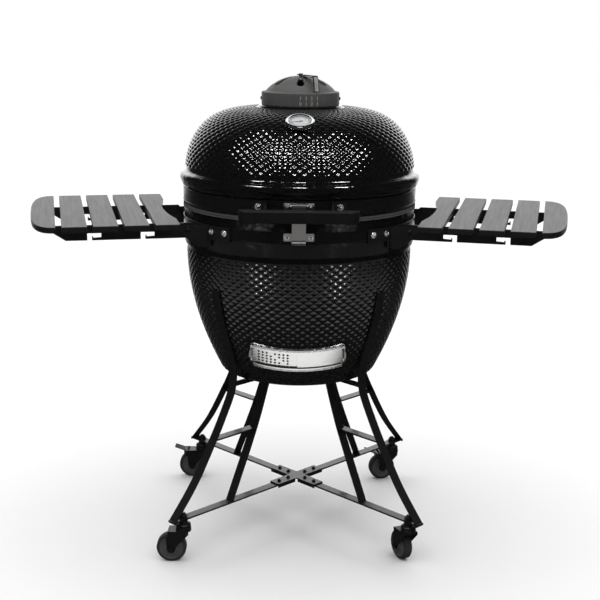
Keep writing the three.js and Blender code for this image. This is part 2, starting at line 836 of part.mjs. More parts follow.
function shelf(sideName, side) {
  const group = placed(new THREE.Group(), { turnZ: -side * SHELF_SWEEP });
  for (let index = 0; index < SLAT.count; index += 1) {
    const board = slab(slatShape(index, side), SHELF_TOP - SLAT.thickness, SHELF_TOP, 6);
    group.add(piece(`${sideName}_slat_${index + 1}`, board, stainedWood));
  }
  for (const [endName, end] of [['front', -1], ['rear', 1]]) {
    const rail = shelfRail(side, end * RAIL.offset);
    group.add(piece(`${sideName}_rail_${endName}`, rail, powderCoat));
    group.add(piece(`${sideName}_bracket_${endName}`, shelfBracket(side, end), powderCoat));
  }
  return group;
}

// ---------------------------------------------------------------- cart

// One ladder leg, drawn in the plane of X (outwards) and Z, with its bars 25 mm wide across Y.
function leg() {
  const half = BAR.width / 2;
  const outer = new THREE.SplineCurve([
    new THREE.Vector2(289.5, 682),
    new THREE.Vector2(275.5, 612),
    new THREE.Vector2(255, 550),
    new THREE.Vector2(236, 490),
    new THREE.Vector2(230.5, 448),
    new THREE.Vector2(240, 405),
    new THREE.Vector2(268, 350),
    new THREE.Vector2(297, 300),
    new THREE.Vector2(362, 198),
    new THREE.Vector2(FOOT_RADIUS, 109),
  ]);
  const strut = new THREE.SplineCurve([
    new THREE.Vector2(111, 428),
    new THREE.Vector2(160, 297),
    new THREE.Vector2(246, 112),
  ]);
  const level = (from, to, top) => block([from, -half, top - BAR.thickness], [to, half, top]);
  const upright = (curve, divisions) =>
    uprightPlate(stripOutline(curve, BAR.thickness, divisions), -half, half);
  const lowerBottom = LOWER_BAR_TOP - BAR.thickness;
  const frame = join(
    upright(outer, 11),
    upright(strut, 3),
    level(110, 232, BOWL_BOTTOM - GAP),
    level(160, 297, 299),
    level(16, FOOT_RADIUS + 1, LOWER_BAR_TOP),
  );
  const holes = CROSS_BOLTS.map((r) => rod(3.6, [r, 0, 100], [r, 0, 125], 6));
  return join(cut(frame, ...holes), casterStem(lowerBottom));
}

// The fixed half of a caster: nut, stem, top race and the king pin that holds the fork.
function casterStem(barBottom) {
  const profile = [
    [0, 78],
    [9, 78],
    [9, 80.5],
    [6, 80.5],
    [6, 93],
    [19, 93],
    [19, barBottom - 8],
    [11, barBottom - 8],
    [10, LOWER_BAR_TOP + 9],
    [6, LOWER_BAR_TOP + 9],
    [6, LOWER_BAR_TOP + 13],
    [0, LOWER_BAR_TOP + 13],
  ];
  return turned(profile, 8).translate(STEM_RADIUS_OUT, 0, 0);
}

// A folded plate shaped like an X that ties the four lower bars together.
function crossPlate() {
  const top = LOWER_BAR_TOP + GAP;
  const arms = [];
  for (let i = 0; i < 4; i += 1) {
    const turn = (shape) => shape.rotateZ(radians(45 + 90 * i));
    arms.push(turn(block([-1, -17, top], [84, 17, top + 3])));
    for (const side of [-1, 1]) {
      arms.push(turn(block([21, side * 14.2, top - 8], [84, side * 17, top + 3])));
    }
    for (const r of CROSS_BOLTS) {
      arms.push(turn(rod(5.5, [r, 0, top + 2], [r, 0, top + 6.5], 6)));
      arms.push(turn(rod(3, [r, 0, top - 8], [r, 0, top + 4], 6)));
    }
  }
  return join(...arms);
}

// Wheel about its own axle along Y, turned so that a flat facet meets the floor.
function wheelShape() {
  const sides = 16;
  const rim = WHEEL.radius / Math.cos(Math.PI / sides);
  const w = WHEEL.halfWidth;
  const half = [[5.6, 15], [13, 15], [15, 8], [29, 8], [rim - 5, w], [rim, w - 5]];
  const mirrored = half.map(([radius, y]) => [radius, -y]).reverse();
  return turned([...half, ...mirrored], sides).rotateX(Math.PI / 2).rotateY(Math.PI / sides);
}

// The fork's crown and cheeks, trailing along +X from the stem, with the axle joined on.
function forkShape(withBrake) {
  const crownPlate = new THREE.Shape();
  crownPlate.absarc(0, 0, 20, Math.PI / 2, -Math.PI / 2, false);
  crownPlate.lineTo(38, -20);
  crownPlate.lineTo(38, 20);
  crownPlate.closePath();
  const crown = join(slab(crownPlate, 81, 84, 4), rod(19, [0, 0, 83], [0, 0, 92.5], 10));
  const cheek = new THREE.Shape();
  cheek.moveTo(-14, 84);
  cheek.lineTo(-14, 76);
  cheek.lineTo(WHEEL.trail - 12, 40);
  cheek.absarc(WHEEL.trail, WHEEL.radius, 11, Math.PI, 2 * Math.PI, false);
  cheek.lineTo(WHEEL.trail + 13, 66);
  cheek.lineTo(withBrake ? 53 : 38, 74);
  cheek.lineTo(withBrake ? 53 : 38, 84);
  cheek.closePath();
  const cheeks = [-1, 1].map((side) => uprightPlate(cheek, side * 17, side * 20, 4));
  const axle = (y) => [WHEEL.trail, y, WHEEL.radius];
  const bolt = join(
    rod(5, axle(-20), axle(20), 8),
    rod(8, axle(-24), axle(-19), 6),
    rod(8, axle(19), axle(24), 6),
  );
  const pinHole = rod(6.8, [0, 0, 70], [0, 0, 100], 8);
  const fork = cut(join(crown, ...cheeks, bolt), pinHole);
  return withBrake ? join(fork, rod(2.6, [47, -18, 79], [47, 18, 79], 8)) : fork;
}

// A foot pedal that rocks on its pin and presses a cam on the tread.
function brakeShape() {
  const lever = uprightPlate([[44, 80], [47, 83.5], [80, 95], [81.5, 92], [50, 79.5]], -14, 14);
  const cam = uprightPlate([[43, 77], [49.5, 72.2], [52, 72.8], [51.5, 79]], -9, 9);
  return cut(
    join(rod(4.8, [47, -16, 79], [47, 16, 79]), lever, cam),
    rod(3.1, [47, -20, 79], [47, 20, 79], 8),
  );
}

function caster(place, legAngle, heading, withBrake) {
  const [x, y] = [Math.cos(radians(legAngle)), Math.sin(radians(legAngle))];
  const group = placed(new THREE.Group(), {
    position: [STEM_RADIUS_OUT * x, STEM_RADIUS_OUT * y, 0],
    turnZ: heading,
  });
  const wheel = piece(`wheel_${place}`, wheelShape(), wheelPlastic);
  wheel.position.set(WHEEL.trail, 0, WHEEL.radius);
  group.add(wheel, piece(`fork_${place}`, forkShape(withBrake), powderCoat));
  if (withBrake) {
    group.add(piece(`brake_${place}`, brakeShape(), wheelPlastic));
  }
  return group;
}

function cart() {
  const group = new THREE.Group();
  const corners = [
    { place: 'front_left', angle: 225, heading: 180, brake: false },
    { place: 'front_right', angle: 315, heading: 116, brake: false },
    { place: 'rear_right', angle: 45, heading: 190, brake: true },
    { place: 'rear_left', angle: 135, heading: 180, brake: true },
  ];
  for (const { place, angle, heading, brake } of corners) {
    const frame = piece(`leg_${place}`, leg(), powderCoat);
    frame.rotation.z = radians(angle);
    group.add(frame, caster(place, angle, heading, brake));
  }
  group.add(piece('cross_plate', crossPlate(), powderCoat));
  return group;
}

// ---------------------------------------------------------------- the grill

const grill = new THREE.Group();
grill.add(
  ceramics(),
  bandsAndFelt(),
  insideBase(),
  hinge(),
  frontHardware(),
  thermometer(),
  topVent(),
  draft(),
  shelf('left', -1),
  shelf('right', 1),
  cart(),
);

export default grill;
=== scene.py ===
# The looks of the kamado ceramic grill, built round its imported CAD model.
# Lengths are in millimetres until a piece is made, and in metres in the studio. Angles are in
# degrees. +Z is up and the front faces -Y.

import math

import bmesh
import bpy
import numpy as np
from mathutils import Matrix, Vector


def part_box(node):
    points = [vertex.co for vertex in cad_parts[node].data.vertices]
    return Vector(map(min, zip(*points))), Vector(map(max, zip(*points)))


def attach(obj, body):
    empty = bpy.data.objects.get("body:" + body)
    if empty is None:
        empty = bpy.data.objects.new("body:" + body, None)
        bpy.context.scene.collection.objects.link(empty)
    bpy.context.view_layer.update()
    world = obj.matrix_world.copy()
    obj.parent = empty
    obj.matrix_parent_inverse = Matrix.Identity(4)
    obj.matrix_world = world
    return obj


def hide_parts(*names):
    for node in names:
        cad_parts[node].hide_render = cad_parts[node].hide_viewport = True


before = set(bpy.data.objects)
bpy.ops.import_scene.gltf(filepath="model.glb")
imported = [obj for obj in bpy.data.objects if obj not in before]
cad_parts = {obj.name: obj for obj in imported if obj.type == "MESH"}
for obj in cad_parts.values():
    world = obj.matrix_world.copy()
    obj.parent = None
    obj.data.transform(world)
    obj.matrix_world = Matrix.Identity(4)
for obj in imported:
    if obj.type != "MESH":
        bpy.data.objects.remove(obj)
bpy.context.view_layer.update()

MM = 0.001

# ---------------------------------------------------------------- driving dimensions

COLUMNS = 70  # dimples round the body
ROW_PITCH = 9.0  # between two rows of dimples, along the surface
DIMPLE_DEPTH = 2.5
SHOULDER = (0.62, 0.775)  # heights in metres between which the bowl's glaze turns dull
SHARP_EDGE = 34  # the least bend that gets a bevel
STEPS_PER_COLUMN = 10
STEPS_PER_ROW = 5

LID_RIM = 878.5
LIP = {"radius": 310.0, "bottom": 925.0, "top": 958.0}
DOME = {"radius": 293.7, "foot": 968.0, "height": 151.0, "collar": 108.0, "top": 1123.4}
DOME_POWERS = (5.08, 1.67)  # of the superellipse, along the radius and the height
DOME_INNER = 269.0
VENT_HOLE = 72.0
BOWL = {"radius": 297.0, "rim": 867.6}
BOWL_SIDE = [(290.0, 767.0), (292.5, 655.0), (257.0, 548.0), (205.0, 447.0)]
BOWL_FOOT = [(205.0, 447.0), (196.0, 431.0), (165.0, 431.0)]
BOWL_INNER = [(265.0, 765.0), (267.0, 665.0), (232.0, 566.0), (184.0, 474.0)]

CLAMP = {"inner": 300.2, "outer": 303.2}  # plates that are bolted on the bands
HINGE = {"y": 364.0, "z": 873.0, "pin": 6.0}
LATCH_PIN = {"y": -314.0, "z": 911.0}

VENT = {"radius": 99.0, "bottom": 1123.8, "ledge": 1157.0, "top": 1196.0}
LEVER_ANGLE = 25.0
GAUGE = {"y": -222.0, "z": 1091.0, "tilt": 23.0, "radius": 35.0, "rest": 105.0}

DRAFT = {"tilt": 21.0, "z": 611.5, "radius": 257.2, "half_height": 32.0, "half_angle": 27.5}
TAB = 0.6  # half the thickness of the draft door's and screen's tabs

SIDES = (("left", -1), ("right", 1))
SWEEP = 12.3  # degrees that the shelves point forward
SLAT = {"count": 5, "length": 509.0, "width": 57.6, "pitch": 71.6, "inner": 337.0}
SHELF_TOP = 866.0
SLAT_THICKNESS = 14.0
RAIL = {"offset": 145.0, "thickness": 4.0, "height": 37.0}
PIVOT = {"x": 308.0, "z": 836.0}

BAR = {"width": 25.0, "thickness": 4.5}
LOWER_BAR_TOP = 115.5
FOOT_RADIUS = 437.0
STEM_RADIUS = 400.0
WHEEL = {"radius": 37.5, "trail": 30.0}
CORNERS = [  # name, where the leg points, where its caster trails, whether it has a brake
    ("front_left", 225, 180, False),
    ("front_right", 315, 116, False),
    ("rear_right", 45, 190, True),
    ("rear_left", 135, 180, True),
]

CAMERA = {"place": (0.0044, -2.967, 1.3194), "tilt": 76.59, "roll": 0.62, "lens": 69.04}
WORLD = {"overhead": 2.25, "backdrop": 1.3, "front": 0.025}
RIG_HEIGHT = 0.75  # metres, what every softbox points at

# ---------------------------------------------------------------- shapes


def added(name, data=None):
    """A new object in the scene."""
    thing = bpy.data.objects.new(name, data)
    bpy.context.scene.collection.objects.link(thing)
    return thing


class Shape:
    """Points in millimetres and the faces between them."""

    def __init__(self, points, faces):
        self.points = np.array(points, float).reshape(-1, 3)
        self.faces = [tuple(face) for face in faces]

    def __add__(self, other):
        start = len(self.points)
        faces = [tuple(i + start for i in face) for face in other.faces]
        return Shape(np.vstack([self.points, other.points]), self.faces + faces)

    def moved(self, x=0.0, y=0.0, z=0.0):
        return Shape(self.points + (x, y, z), self.faces)

    def turned(self, axis, degrees):
        turn = np.array(Matrix.Rotation(math.radians(degrees), 3, axis))
        return Shape(self.points @ turn.T, self.faces)

    def mirrored(self):
        return Shape(self.points * (-1, 1, 1), self.faces)


def merged(shapes):
    shapes = list(shapes)
    total = shapes[0]
    for shape in shapes[1:]:
        total = total + shape
    return total


def around(radius, angle, z=0.0):
    """The point at a radius and an angle in degrees from the front towards +X."""
    a = math.radians(angle)
    return (radius * math.sin(a), -radius * math.cos(a), z)


def arc(x, y, radius, start, stop, step=15):
    """Points on a circle between two angles, in degrees from the first axis."""
    turns = [math.radians(a) for a in range(start, stop + 1, step)]
    return [(x + radius * math.cos(a), y + radius * math.sin(a)) for a in turns]


def span(side, near, far):
    """Two distances as a low and a high number, on the given side of zero."""
    return sorted((side * near, side * far))


def loft(sections, ends=True):
    """A skin over closed sections with equal numbers of points, and a face at each end."""
    size = len(sections[0])
    points = [point for section in sections for point in section]
    faces = []
    for row in range(len(sections) - 1):
        for i in range(size):
            j = (i + 1) % size
            low, high = row * size, (row + 1) * size
            faces.append((low + i, low + j, high + j, high + i))
    if ends:
        faces.append(tuple(range(size))[::-1])
        faces.append(tuple(range(len(points) - size, len(points))))
    return Shape(points, faces)


def lathe(profile, sides=96):
    """A turned shape round Z from (radius, z) points. Off the axis, it closes as a ring."""
    points, rows = [], []
    for radius, z in profile:
        count = sides if radius > 0 else 1
        rows.append(range(len(points), len(points) + count))
        points += [around(radius, 360 * i / sides, z) for i in range(count)]
    if profile[0][0] > 0 and profile[-1][0] > 0:
        rows.append(rows[0])
    faces = []
    for low, high in zip(rows, rows[1:]):
        for i in range(sides):
            j = (i + 1) % sides
            loop = [low[i % len(low)], low[j % len(low)], high[j % len(high)], high[i % len(high)]]
            face = tuple(dict.fromkeys(loop))
            if len(face) > 2:
                faces.append(face)
    return Shape(points, faces)


def ring(inner, outer, low, high, sides=96):
    """A square-edged ring round Z, or a disc when its inner radius is 0."""
    return lathe([(inner, low), (outer, low), (outer, high), (inner, high)], sides)


def plate(outline, low, high, axes="xyz"):
    """A flat outline with a thickness. The axes name where its two sides and depth go."""
    layers = [[(a, b, depth) for a, b in outline] for depth in (low, high)]
    shape = loft(layers)
    order = [axes.index(axis) for axis in "xyz"]
    return Shape(shape.points[:, order], shape.faces)


def block(low, high):
    (x0, y0, z0), (x1, y1, z1) = low, high
    return plate([(x0, y0), (x1, y0), (x1, y1), (x0, y1)], z0, z1)


def rounded(outline, radius, steps=4):
    """The outline with each corner replaced by a small curve."""
    soft = []
    count = len(outline)
    for i, corner in enumerate(outline):
        here = np.array(corner, float)
        ends = []
        for other in (outline[i - 1], outline[(i + 1) % count]):
            side = np.array(other, float) - here
            length = np.linalg.norm(side)
            ends.append(here + side / length * min(radius, 0.49 * length))
        for step in range(steps + 1):
            t = step / steps
            bend = (1 - t) ** 2 * ends[0] + 2 * t * (1 - t) * here + t**2 * ends[1]
            soft.append(tuple(bend))
    return soft


def spline(points, count):
    """Even samples of a smooth curve through the points."""
    knots = [np.array(p, float) for p in points]
    knots = [2 * knots[0] - knots[1]] + knots + [2 * knots[-1] - knots[-2]]
    spans = len(points) - 1
    curve = []
    for i in range(count + 1):
        place = min(i / count * spans, spans - 1e-9)
        k, t = int(place), place - int(place)
        a, b, c, d = knots[k : k + 4]
        curve.append(
            0.5 * (2 * b + (c - a) * t + (2 * a - 5 * b + 4 * c - d) * t**2
                   + (3 * b - a - 3 * c + d) * t**3)
        )
    return curve


def bezier(points, count):
    """Even samples of a quadratic or cubic Bezier curve."""
    knots = [np.array(p, float) for p in points]
    degree = len(knots) - 1
    curve = []
    for i in range(count + 1):
        t = i / count
        terms = [
            math.comb(degree, k) * (1 - t) ** (degree - k) * t**k * knot
            for k, knot in enumerate(knots)
        ]
        curve.append(tuple(sum(terms)))
    return curve


def strip(curve, thickness):
    """The outline of a strip of even thickness along a plane curve."""
    curve = [np.array(p, float) for p in curve]
    sides = [[], []]
    for i, here in enumerate(curve):
        along = curve[min(i + 1, len(curve) - 1)] - curve[max(i - 1, 0)]
        across = np.array([-along[1], along[0]]) / np.linalg.norm(along) * thickness / 2
        sides[0].append(tuple(here + across))
        sides[1].append(tuple(here - across))
    return sides[0] + sides[1][::-1]


def aimed(shape, at, direction):
    """The shape with its +Z turned to a direction and its origin moved to a point."""
    turn = Vector(direction).to_track_quat("Z", "Y").to_matrix()
    return Shape(shape.points @ np.array(turn).T + at, shape.faces)


def rod(radius, start, end, sides=24):
    along = Vector(end) - Vector(start)
    return aimed(ring(0, radius, 0, along.length, sides), start, along)


def tube(path, radius, sides=10):
    """A round wire along a path."""
    path = [Vector(p) for p in path]
    up = Vector((0.31, 0.17, 0.93))
    sections = []
    for i, here in enumerate(path):
        along = (path[min(i + 1, len(path) - 1)] - path[max(i - 1, 0)]).normalized()
        across = along.cross(up).normalized()
        up = across.cross(along)
        angles = [2 * math.pi * k / sides for k in range(sides)]
        sections.append([tuple(here + (across * math.cos(a) + up * math.sin(a)) * radius)
                         for a in angles])
    return loft(sections)


def bent_plate(start, end, low, high, inner, outer, corner=3.0, columns=14):
    """A plate on a cylinder between two angles, with its corners rounded."""
    length = math.radians(end - start) * outer
    corner = min(corner, (high - low) / 2.01, length / 2.01)
    places = [(corner * (1 - math.cos(k * math.pi / 10)), corner * (1 - math.sin(k * math.pi / 10)))
              for k in range(6)]
    middle = [(corner + (length - 2 * corner) * k / columns, 0.0) for k in range(1, columns)]
    places += middle + [(length - along, cut) for along, cut in places[::-1]]
    sections = []
    for along, cut in places:
        angle = start + math.degrees(along / outer)
        bottom, top = low + cut, max(high - cut, low + cut + 0.05)
        sections.append([around(inner, angle, bottom), around(outer, angle, bottom),
                         around(outer, angle, top), around(inner, angle, top)])
    return loft(sections)


def bolt(at, direction, size=6.0):
    """A washer, a hexagon and a domed end, seated on a face."""
    washer = lathe([(0, -0.6), (size * 1.3, -0.6), (size * 1.3, 1.0), (size * 1.2, 1.3), (0, 1.3)], 28)
    head = lathe([(0, 1), (size * 1.02, 1), (size * 1.02, size * 0.75), (size * 0.9, size * 0.9),
                  (0, size * 0.9)], 6)
    dome = lathe([(size * 0.72, size * 0.8), (size * 0.7, size * 1.0), (size * 0.5, size * 1.22),
                  (size * 0.25, size * 1.32), (0, size * 1.35), (0, size * 0.8)], 20)
    return aimed(washer + head + dome, at, direction)


def bolt_round(radius, angle, z, size=6.0):
    return bolt(around(radius, angle, z), around(1, angle), size)


def temporary(shape):
    mesh = bpy.data.meshes.new("temporary")
    mesh.from_pydata(shape.points.tolist(), [], shape.faces)
    form = bmesh.new()
    form.from_mesh(mesh)
    bmesh.ops.recalc_face_normals(form, faces=form.faces)
    form.to_mesh(mesh)
    form.free()
    return added("temporary", mesh)


def shape_of(thing):
    """The points and faces that an object shows, with the object then removed."""
    mesh = thing.evaluated_get(bpy.context.evaluated_depsgraph_get()).to_mesh()
    shape = Shape([v.co[:] for v in mesh.vertices], [tuple(p.vertices) for p in mesh.polygons])
    bpy.data.objects.remove(thing)
    return shape


def carved(shape, *cutters):
    """The shape with the cutters taken away."""
    base, tool = temporary(shape), temporary(merged(cutters))
    cut = base.modifiers.new("cut", "BOOLEAN")
    cut.operation, cut.solver, cut.use_self, cut.object = "DIFFERENCE", "EXACT", True, tool
    result = shape_of(base)
    bpy.data.objects.remove(tool)
    return result


# ---------------------------------------------------------------- materials


class Nodes:
    """A node tree with short ways to add nodes to it."""

    def __init__(self, tree):
        self.tree = tree

    def put(self, node, name, value):
        socket = node.inputs[name]
        if isinstance(value, bpy.types.NodeSocket):
            self.tree.links.new(value, socket)
        elif socket.type == "RGBA":
            socket.default_value = (*value, 1) if isinstance(value, tuple) else (value, value, value, 1)
        else:
            socket.default_value = value

    def node(self, kind, settings=None, **inputs):
        node = self.tree.nodes.new("ShaderNode" + kind)
        for key, value in (settings or {}).items():
            setattr(node, key, value)
        for key, value in inputs.items():
            self.put(node, key, value)
        return node

    def range(self, value, low, high, to_low, to_high, curve="LINEAR"):
        node = self.node("MapRange", {"interpolation_type": curve}, Value=value)
        for key, number in (("From Min", low), ("From Max", high), ("To Min", to_low), ("To Max", to_high)):
            node.inputs[key].default_value = number
        return node.outputs[0]

    def math(self, operation, first, second):
        node = self.node("Math", {"operation": operation})
        self.put(node, 0, first)
        self.put(node, 1, second)
        return node.outputs[0]


class Paint(Nodes):
    """A material, and the slot it fills. Its colour, roughness and relief come from noise."""

    INPUTS = {"color": "Base Color", "roughness": "Roughness", "metallic": "Metallic",
              "coat": "Coat Weight", "coat_roughness": "Coat Roughness", "ior": "IOR",
              "sheen": "Sheen Weight", "anisotropic": "Anisotropic", "alpha": "Alpha",
              "specular": "Specular IOR Level"}

    def __init__(self, name, slot=None, **inputs):
        self.material = bpy.data.materials.new(name)
        self.material.use_nodes = True
        super().__init__(self.material.node_tree)
        self.slot = slot
        self.shader = self.tree.nodes["Principled BSDF"]
        self.place = self.node("TexCoord").outputs["Object"]
        self.normal = None
        self.set(**inputs)

    def set(self, **inputs):
        for key, value in inputs.items():
            self.put(self.shader, self.INPUTS[key], value)

    def noise(self, scale, detail=3.0, stretch=(1, 1, 1), turn=0.0, rough=0.5):
        """Noise in the row frame, with scale in features per metre."""
        turned = self.node("Mapping", Vector=self.place, Rotation=(0, 0, math.radians(turn)))
        mapping = self.node("Mapping", Vector=turned.outputs[0], Scale=stretch)
        texture = self.node("TexNoise", Vector=mapping.outputs[0], Scale=scale, Detail=detail,
                            Roughness=rough)
        return texture.outputs["Fac"]

    def mix(self, factor, first, second):
        return self.node("MixRGB", Fac=factor, Color1=first, Color2=second).outputs[0]

    def uneven(self, noise, low, high):
        """A value that runs from low to high with the middle range of a noise."""
        return self.range(noise, 0.3, 0.7, low, high)

    def relief(self, height, depth, strength=1.0):
        """Bumps of a depth in millimetres on top of any that are there."""
        node = self.node("Bump", Height=height, Distance=depth * MM, Strength=strength)
        if self.normal is not None:
            self.put(node, "Normal", self.normal)
        self.normal = node.outputs[0]
        self.put(self.shader, "Normal", self.normal)


def surface(name, slot, dark, light, low, high, cloud=(9, 5), sheen=(70, 4), grains=(), **inputs):
    """Colour from dark to light in clouds, roughness from low to high, and grains of relief.

    A noise is (features per metre, detail). A grain adds its depth in millimetres and strength.
    Without a light colour, the dark one is even.
    """
    paint = Paint(name, slot, color=dark, **inputs)
    if light:
        paint.set(color=paint.mix(paint.noise(*cloud), dark, light))
    paint.set(roughness=paint.uneven(paint.noise(*sheen), low, high))
    for scale, detail, depth, strength in grains:
        paint.relief(paint.noise(scale, detail), depth, strength)
    return paint


def glazed_black(name, low, high, dull):
    """Black glaze with a clear top layer, that is duller round the shoulder and above it."""
    grains = ((38, 1, 3.0, 0.8), (130, 2, 0.3, 0.4), (700, 1, 0.03, 0.4))
    paint = surface(name, "glazed_ceramic", (0.0022, 0.0022, 0.0024), (0.005, 0.005, 0.0055),
                    low, high, (14, 4), (60, 3), grains, coat_roughness=0.03, ior=1.5)
    height = paint.node("SeparateXYZ", Vector=paint.place).outputs["Z"]
    for key, full in (("coat", 1.0), ("specular", 0.5)):
        paint.set(**{key: paint.range(height, *SHOULDER, full, full * dull)})
    return paint


def fire_clay():
    paint = Paint("fire_clay", "fire_clay", roughness=0.88)
    specks = paint.range(paint.noise(450, 1), 0.62, 0.68, 0.0, 0.55)
    body = paint.mix(paint.noise(18, 6), (0.46, 0.36, 0.26), (0.62, 0.52, 0.4))
    paint.set(color=paint.mix(specks, body, (0.2, 0.15, 0.11)))
    paint.relief(paint.noise(260, 6), 0.5, 0.7)
    return paint


def coated_steel(name, slot, dark, light, low, high, coat=0.0):
    """Black paint on steel: a fine orange-peel grain and slightly uneven sheen."""
    grains = ((1500, 2, 0.05, 0.6), (260, 2, 0.08, 0.3))
    return surface(name, slot, dark, light, low, high, grains=grains, coat=coat, coat_roughness=0.12)


def felt_grey():
    paint = Paint("felt_grey", "felt", roughness=0.95, sheen=0.1)
    fibres = paint.noise(520, 6, (1, 1, 2.2), rough=0.7)
    paint.set(color=paint.mix(fibres, 0.02, (0.085, 0.085, 0.083)))
    paint.relief(fibres, 1.2)
    return paint


def brushed(name, slot, dark, light, low, high, stretch=(3, 3, 700)):
    """Metal with fine brush lines across the stretched direction."""
    paint = Paint(name, slot, metallic=1.0, anisotropic=0.35)
    lines = paint.noise(2.2, 5, stretch, rough=0.65)
    smudge = paint.noise(22, 4)
    paint.set(color=paint.mix(lines, dark, light))
    paint.set(roughness=paint.math("ADD", paint.uneven(lines, low, high), paint.uneven(smudge, 0, 0.06)))
    paint.relief(lines, 0.03, 0.4)
    return paint


def polished(name, slot, color, low, high):
    return surface(name, slot, color, None, low, high, sheen=(90, 5), grains=((220, 2, 0.04, 0.3),),
                   metallic=1.0)


def enamel(name, slot, color):
    worn = tuple(0.86 * c for c in color)
    return surface(name, slot, color, worn, 0.4, 0.48, (60, 3), (60, 3), coat=0.3)


def stained_wood(name, turn):
    """Grey-black stained bamboo: long strips with grain along the slat."""
    paint = Paint(name, "stained_wood", coat=0.42, coat_roughness=0.33)
    grain = paint.noise(7, 7, (26, 1.0, 26), turn, 0.62)
    pores = paint.noise(40, 3, (34, 1.0, 34), turn, 0.6)
    cloud = paint.range(paint.noise(11, 3, (1, 0.4, 1), turn), 0.35, 0.65, 0.0, 0.5)
    body = paint.mix(grain, (0.0015, 0.0015, 0.0014), (0.008, 0.0078, 0.0075))
    paint.set(color=paint.mix(cloud, body, (0.0035, 0.0034, 0.0033)))
    paint.set(roughness=paint.uneven(grain, 0.42, 0.58))
    paint.relief(grain, 0.25, 0.5)
    paint.relief(pores, 0.12, 0.5)
    return paint


def moulded(name, slot, dark, light, roughness):
    return surface(name, slot, dark, light, roughness, roughness + 0.12, (40, 4), (150, 3),
                   ((1100, 2, 0.06, 0.5),))


LID_GLAZE = glazed_black("glazed_black_lid", 0.06, 0.16, 1.0)
BOWL_GLAZE = glazed_black("glazed_black_bowl", 0.22, 0.3, 0.12)
CLAY = fire_clay()
BAND = coated_steel("band_black", "band_steel", (0.003, 0.003, 0.0031), 0.006, 0.26, 0.36, 0.25)
COATED = coated_steel("powder_black", "powder_coat", 0.005, (0.009, 0.009, 0.0088), 0.36, 0.46, 0.35)
GRIP = coated_steel("grip_black", "powder_coat", 0.0035, 0.006, 0.34, 0.46)
FELT = felt_grey()
IRON = surface("cast_iron", "cast_iron", (0.1, 0.099, 0.098), (0.15, 0.148, 0.146), 0.42, 0.58, (26, 6),
               (120, 4), ((900, 3, 0.1, 0.8), (160, 3, 0.15, 0.35)), metallic=0.25)
STEEL = brushed("brushed_stainless", "stainless", (0.56, 0.56, 0.55), (0.82, 0.82, 0.8), 0.15, 0.26)
DARK_STEEL = brushed("dark_stainless", "stainless", (0.17, 0.167, 0.16), (0.34, 0.333, 0.32), 0.24, 0.38,
                     (500, 3, 3))
ZINC = polished("bright_zinc", "spring_steel", (0.72, 0.72, 0.7), 0.14, 0.3)
CHROME = polished("chrome", "chrome", (0.86, 0.86, 0.88), 0.04, 0.12)
SPRING = polished("spring_wire", "spring_steel", 0.42, 0.22, 0.4)
DIAL = enamel("dial_white", "pointer_paint", (0.55, 0.55, 0.53))
INK = enamel("dial_ink", "pointer_paint", (0.012, 0.012, 0.012))
MARKS = enamel("scale_white", "cast_iron", (0.62, 0.62, 0.6))
LEVER_GREY = enamel("lever_grey", "cast_iron", (0.36, 0.36, 0.355))
GLASS = surface("gauge_glass", "chrome", (0.9, 0.95, 1.0), None, 0.0, 0.02, sheen=(50, 3),
                alpha=0.1, ior=1.46)
WOOD = {side: stained_wood(f"stained_wood_{name}", side * SWEEP) for name, side in SIDES}
WHEEL_BLACK = moulded("wheel_black", "wheel_plastic", 0.06, 0.1, 0.42)
TREAD = moulded("tread_black", "wheel_plastic", 0.018, 0.03, 0.6)

# ---------------------------------------------------------------- making pieces


def build(name, shape, paint, body, nodes=(), bevel=0.0, steps=2, smooth=36, inside=None):
    """A named piece that rides on a body and stands for the CAD nodes it is given.

    inside tells which face centres are bare clay.
    """
    mesh = bpy.data.meshes.new(name)
    mesh.from_pydata((shape.points * MM).tolist(), [], shape.faces)
    form = bmesh.new()
    form.from_mesh(mesh)
    bmesh.ops.remove_doubles(form, verts=form.verts, dist=0.002 * MM)
    bmesh.ops.recalc_face_normals(form, faces=form.faces)
    if bevel:
        sharp = [e for e in form.edges
                 if e.is_manifold and e.calc_face_angle(0) > math.radians(SHARP_EDGE)]
        bmesh.ops.bevel(form, geom=sharp, offset=bevel * MM, offset_type="OFFSET", affect="EDGES",
                        segments=steps, profile=0.5, clamp_overlap=True)
    form.to_mesh(mesh)
    form.free()
    mesh.materials.append(paint.material)
    if inside:
        mesh.materials.append(CLAY.material)
        for face in mesh.polygons:
            face.material_index = int(inside(face.center / MM))
    mesh.shade_smooth()
    mesh.set_sharp_from_angle(angle=math.radians(smooth))
    piece = added(name, mesh)
    if bevel:
        even = piece.modifiers.new("even_normals", "WEIGHTED_NORMAL")
        even.keep_sharp = True
    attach(piece, body)
    if nodes:
        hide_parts(*nodes)
    return piece


# ---------------------------------------------------------------- dimpled ceramics


def resampled(profile, step):
    """The profile with its points about one step apart."""
    points = [np.array(profile[0], float)]
    for start, end in zip(profile, profile[1:]):
        start, end = np.array(start, float), np.array(end, float)
        count = max(1, round(np.linalg.norm(end - start) / step))
        points += [start + (end - start) * k / count for k in range(1, count + 1)]
    return points


def eased(value, low, high):
    t = np.clip((value - low) / (high - low), 0, 1)
    return t * t * (3 - 2 * t)


def lens_height(across, along):
    """The height, from 0 to 1, of wide lens shapes in staggered rows one unit apart."""
    nearest = np.full(np.shape(across), 1.0)
    for shift in (0, 1):
        a = (across - shift + 1) % 2 - 1
        b = (along - shift + 1) % 2 - 1
        nearest = np.minimum(nearest, (a / 0.98) ** 2 + (b / 0.74) ** 2)
    return 1 - nearest


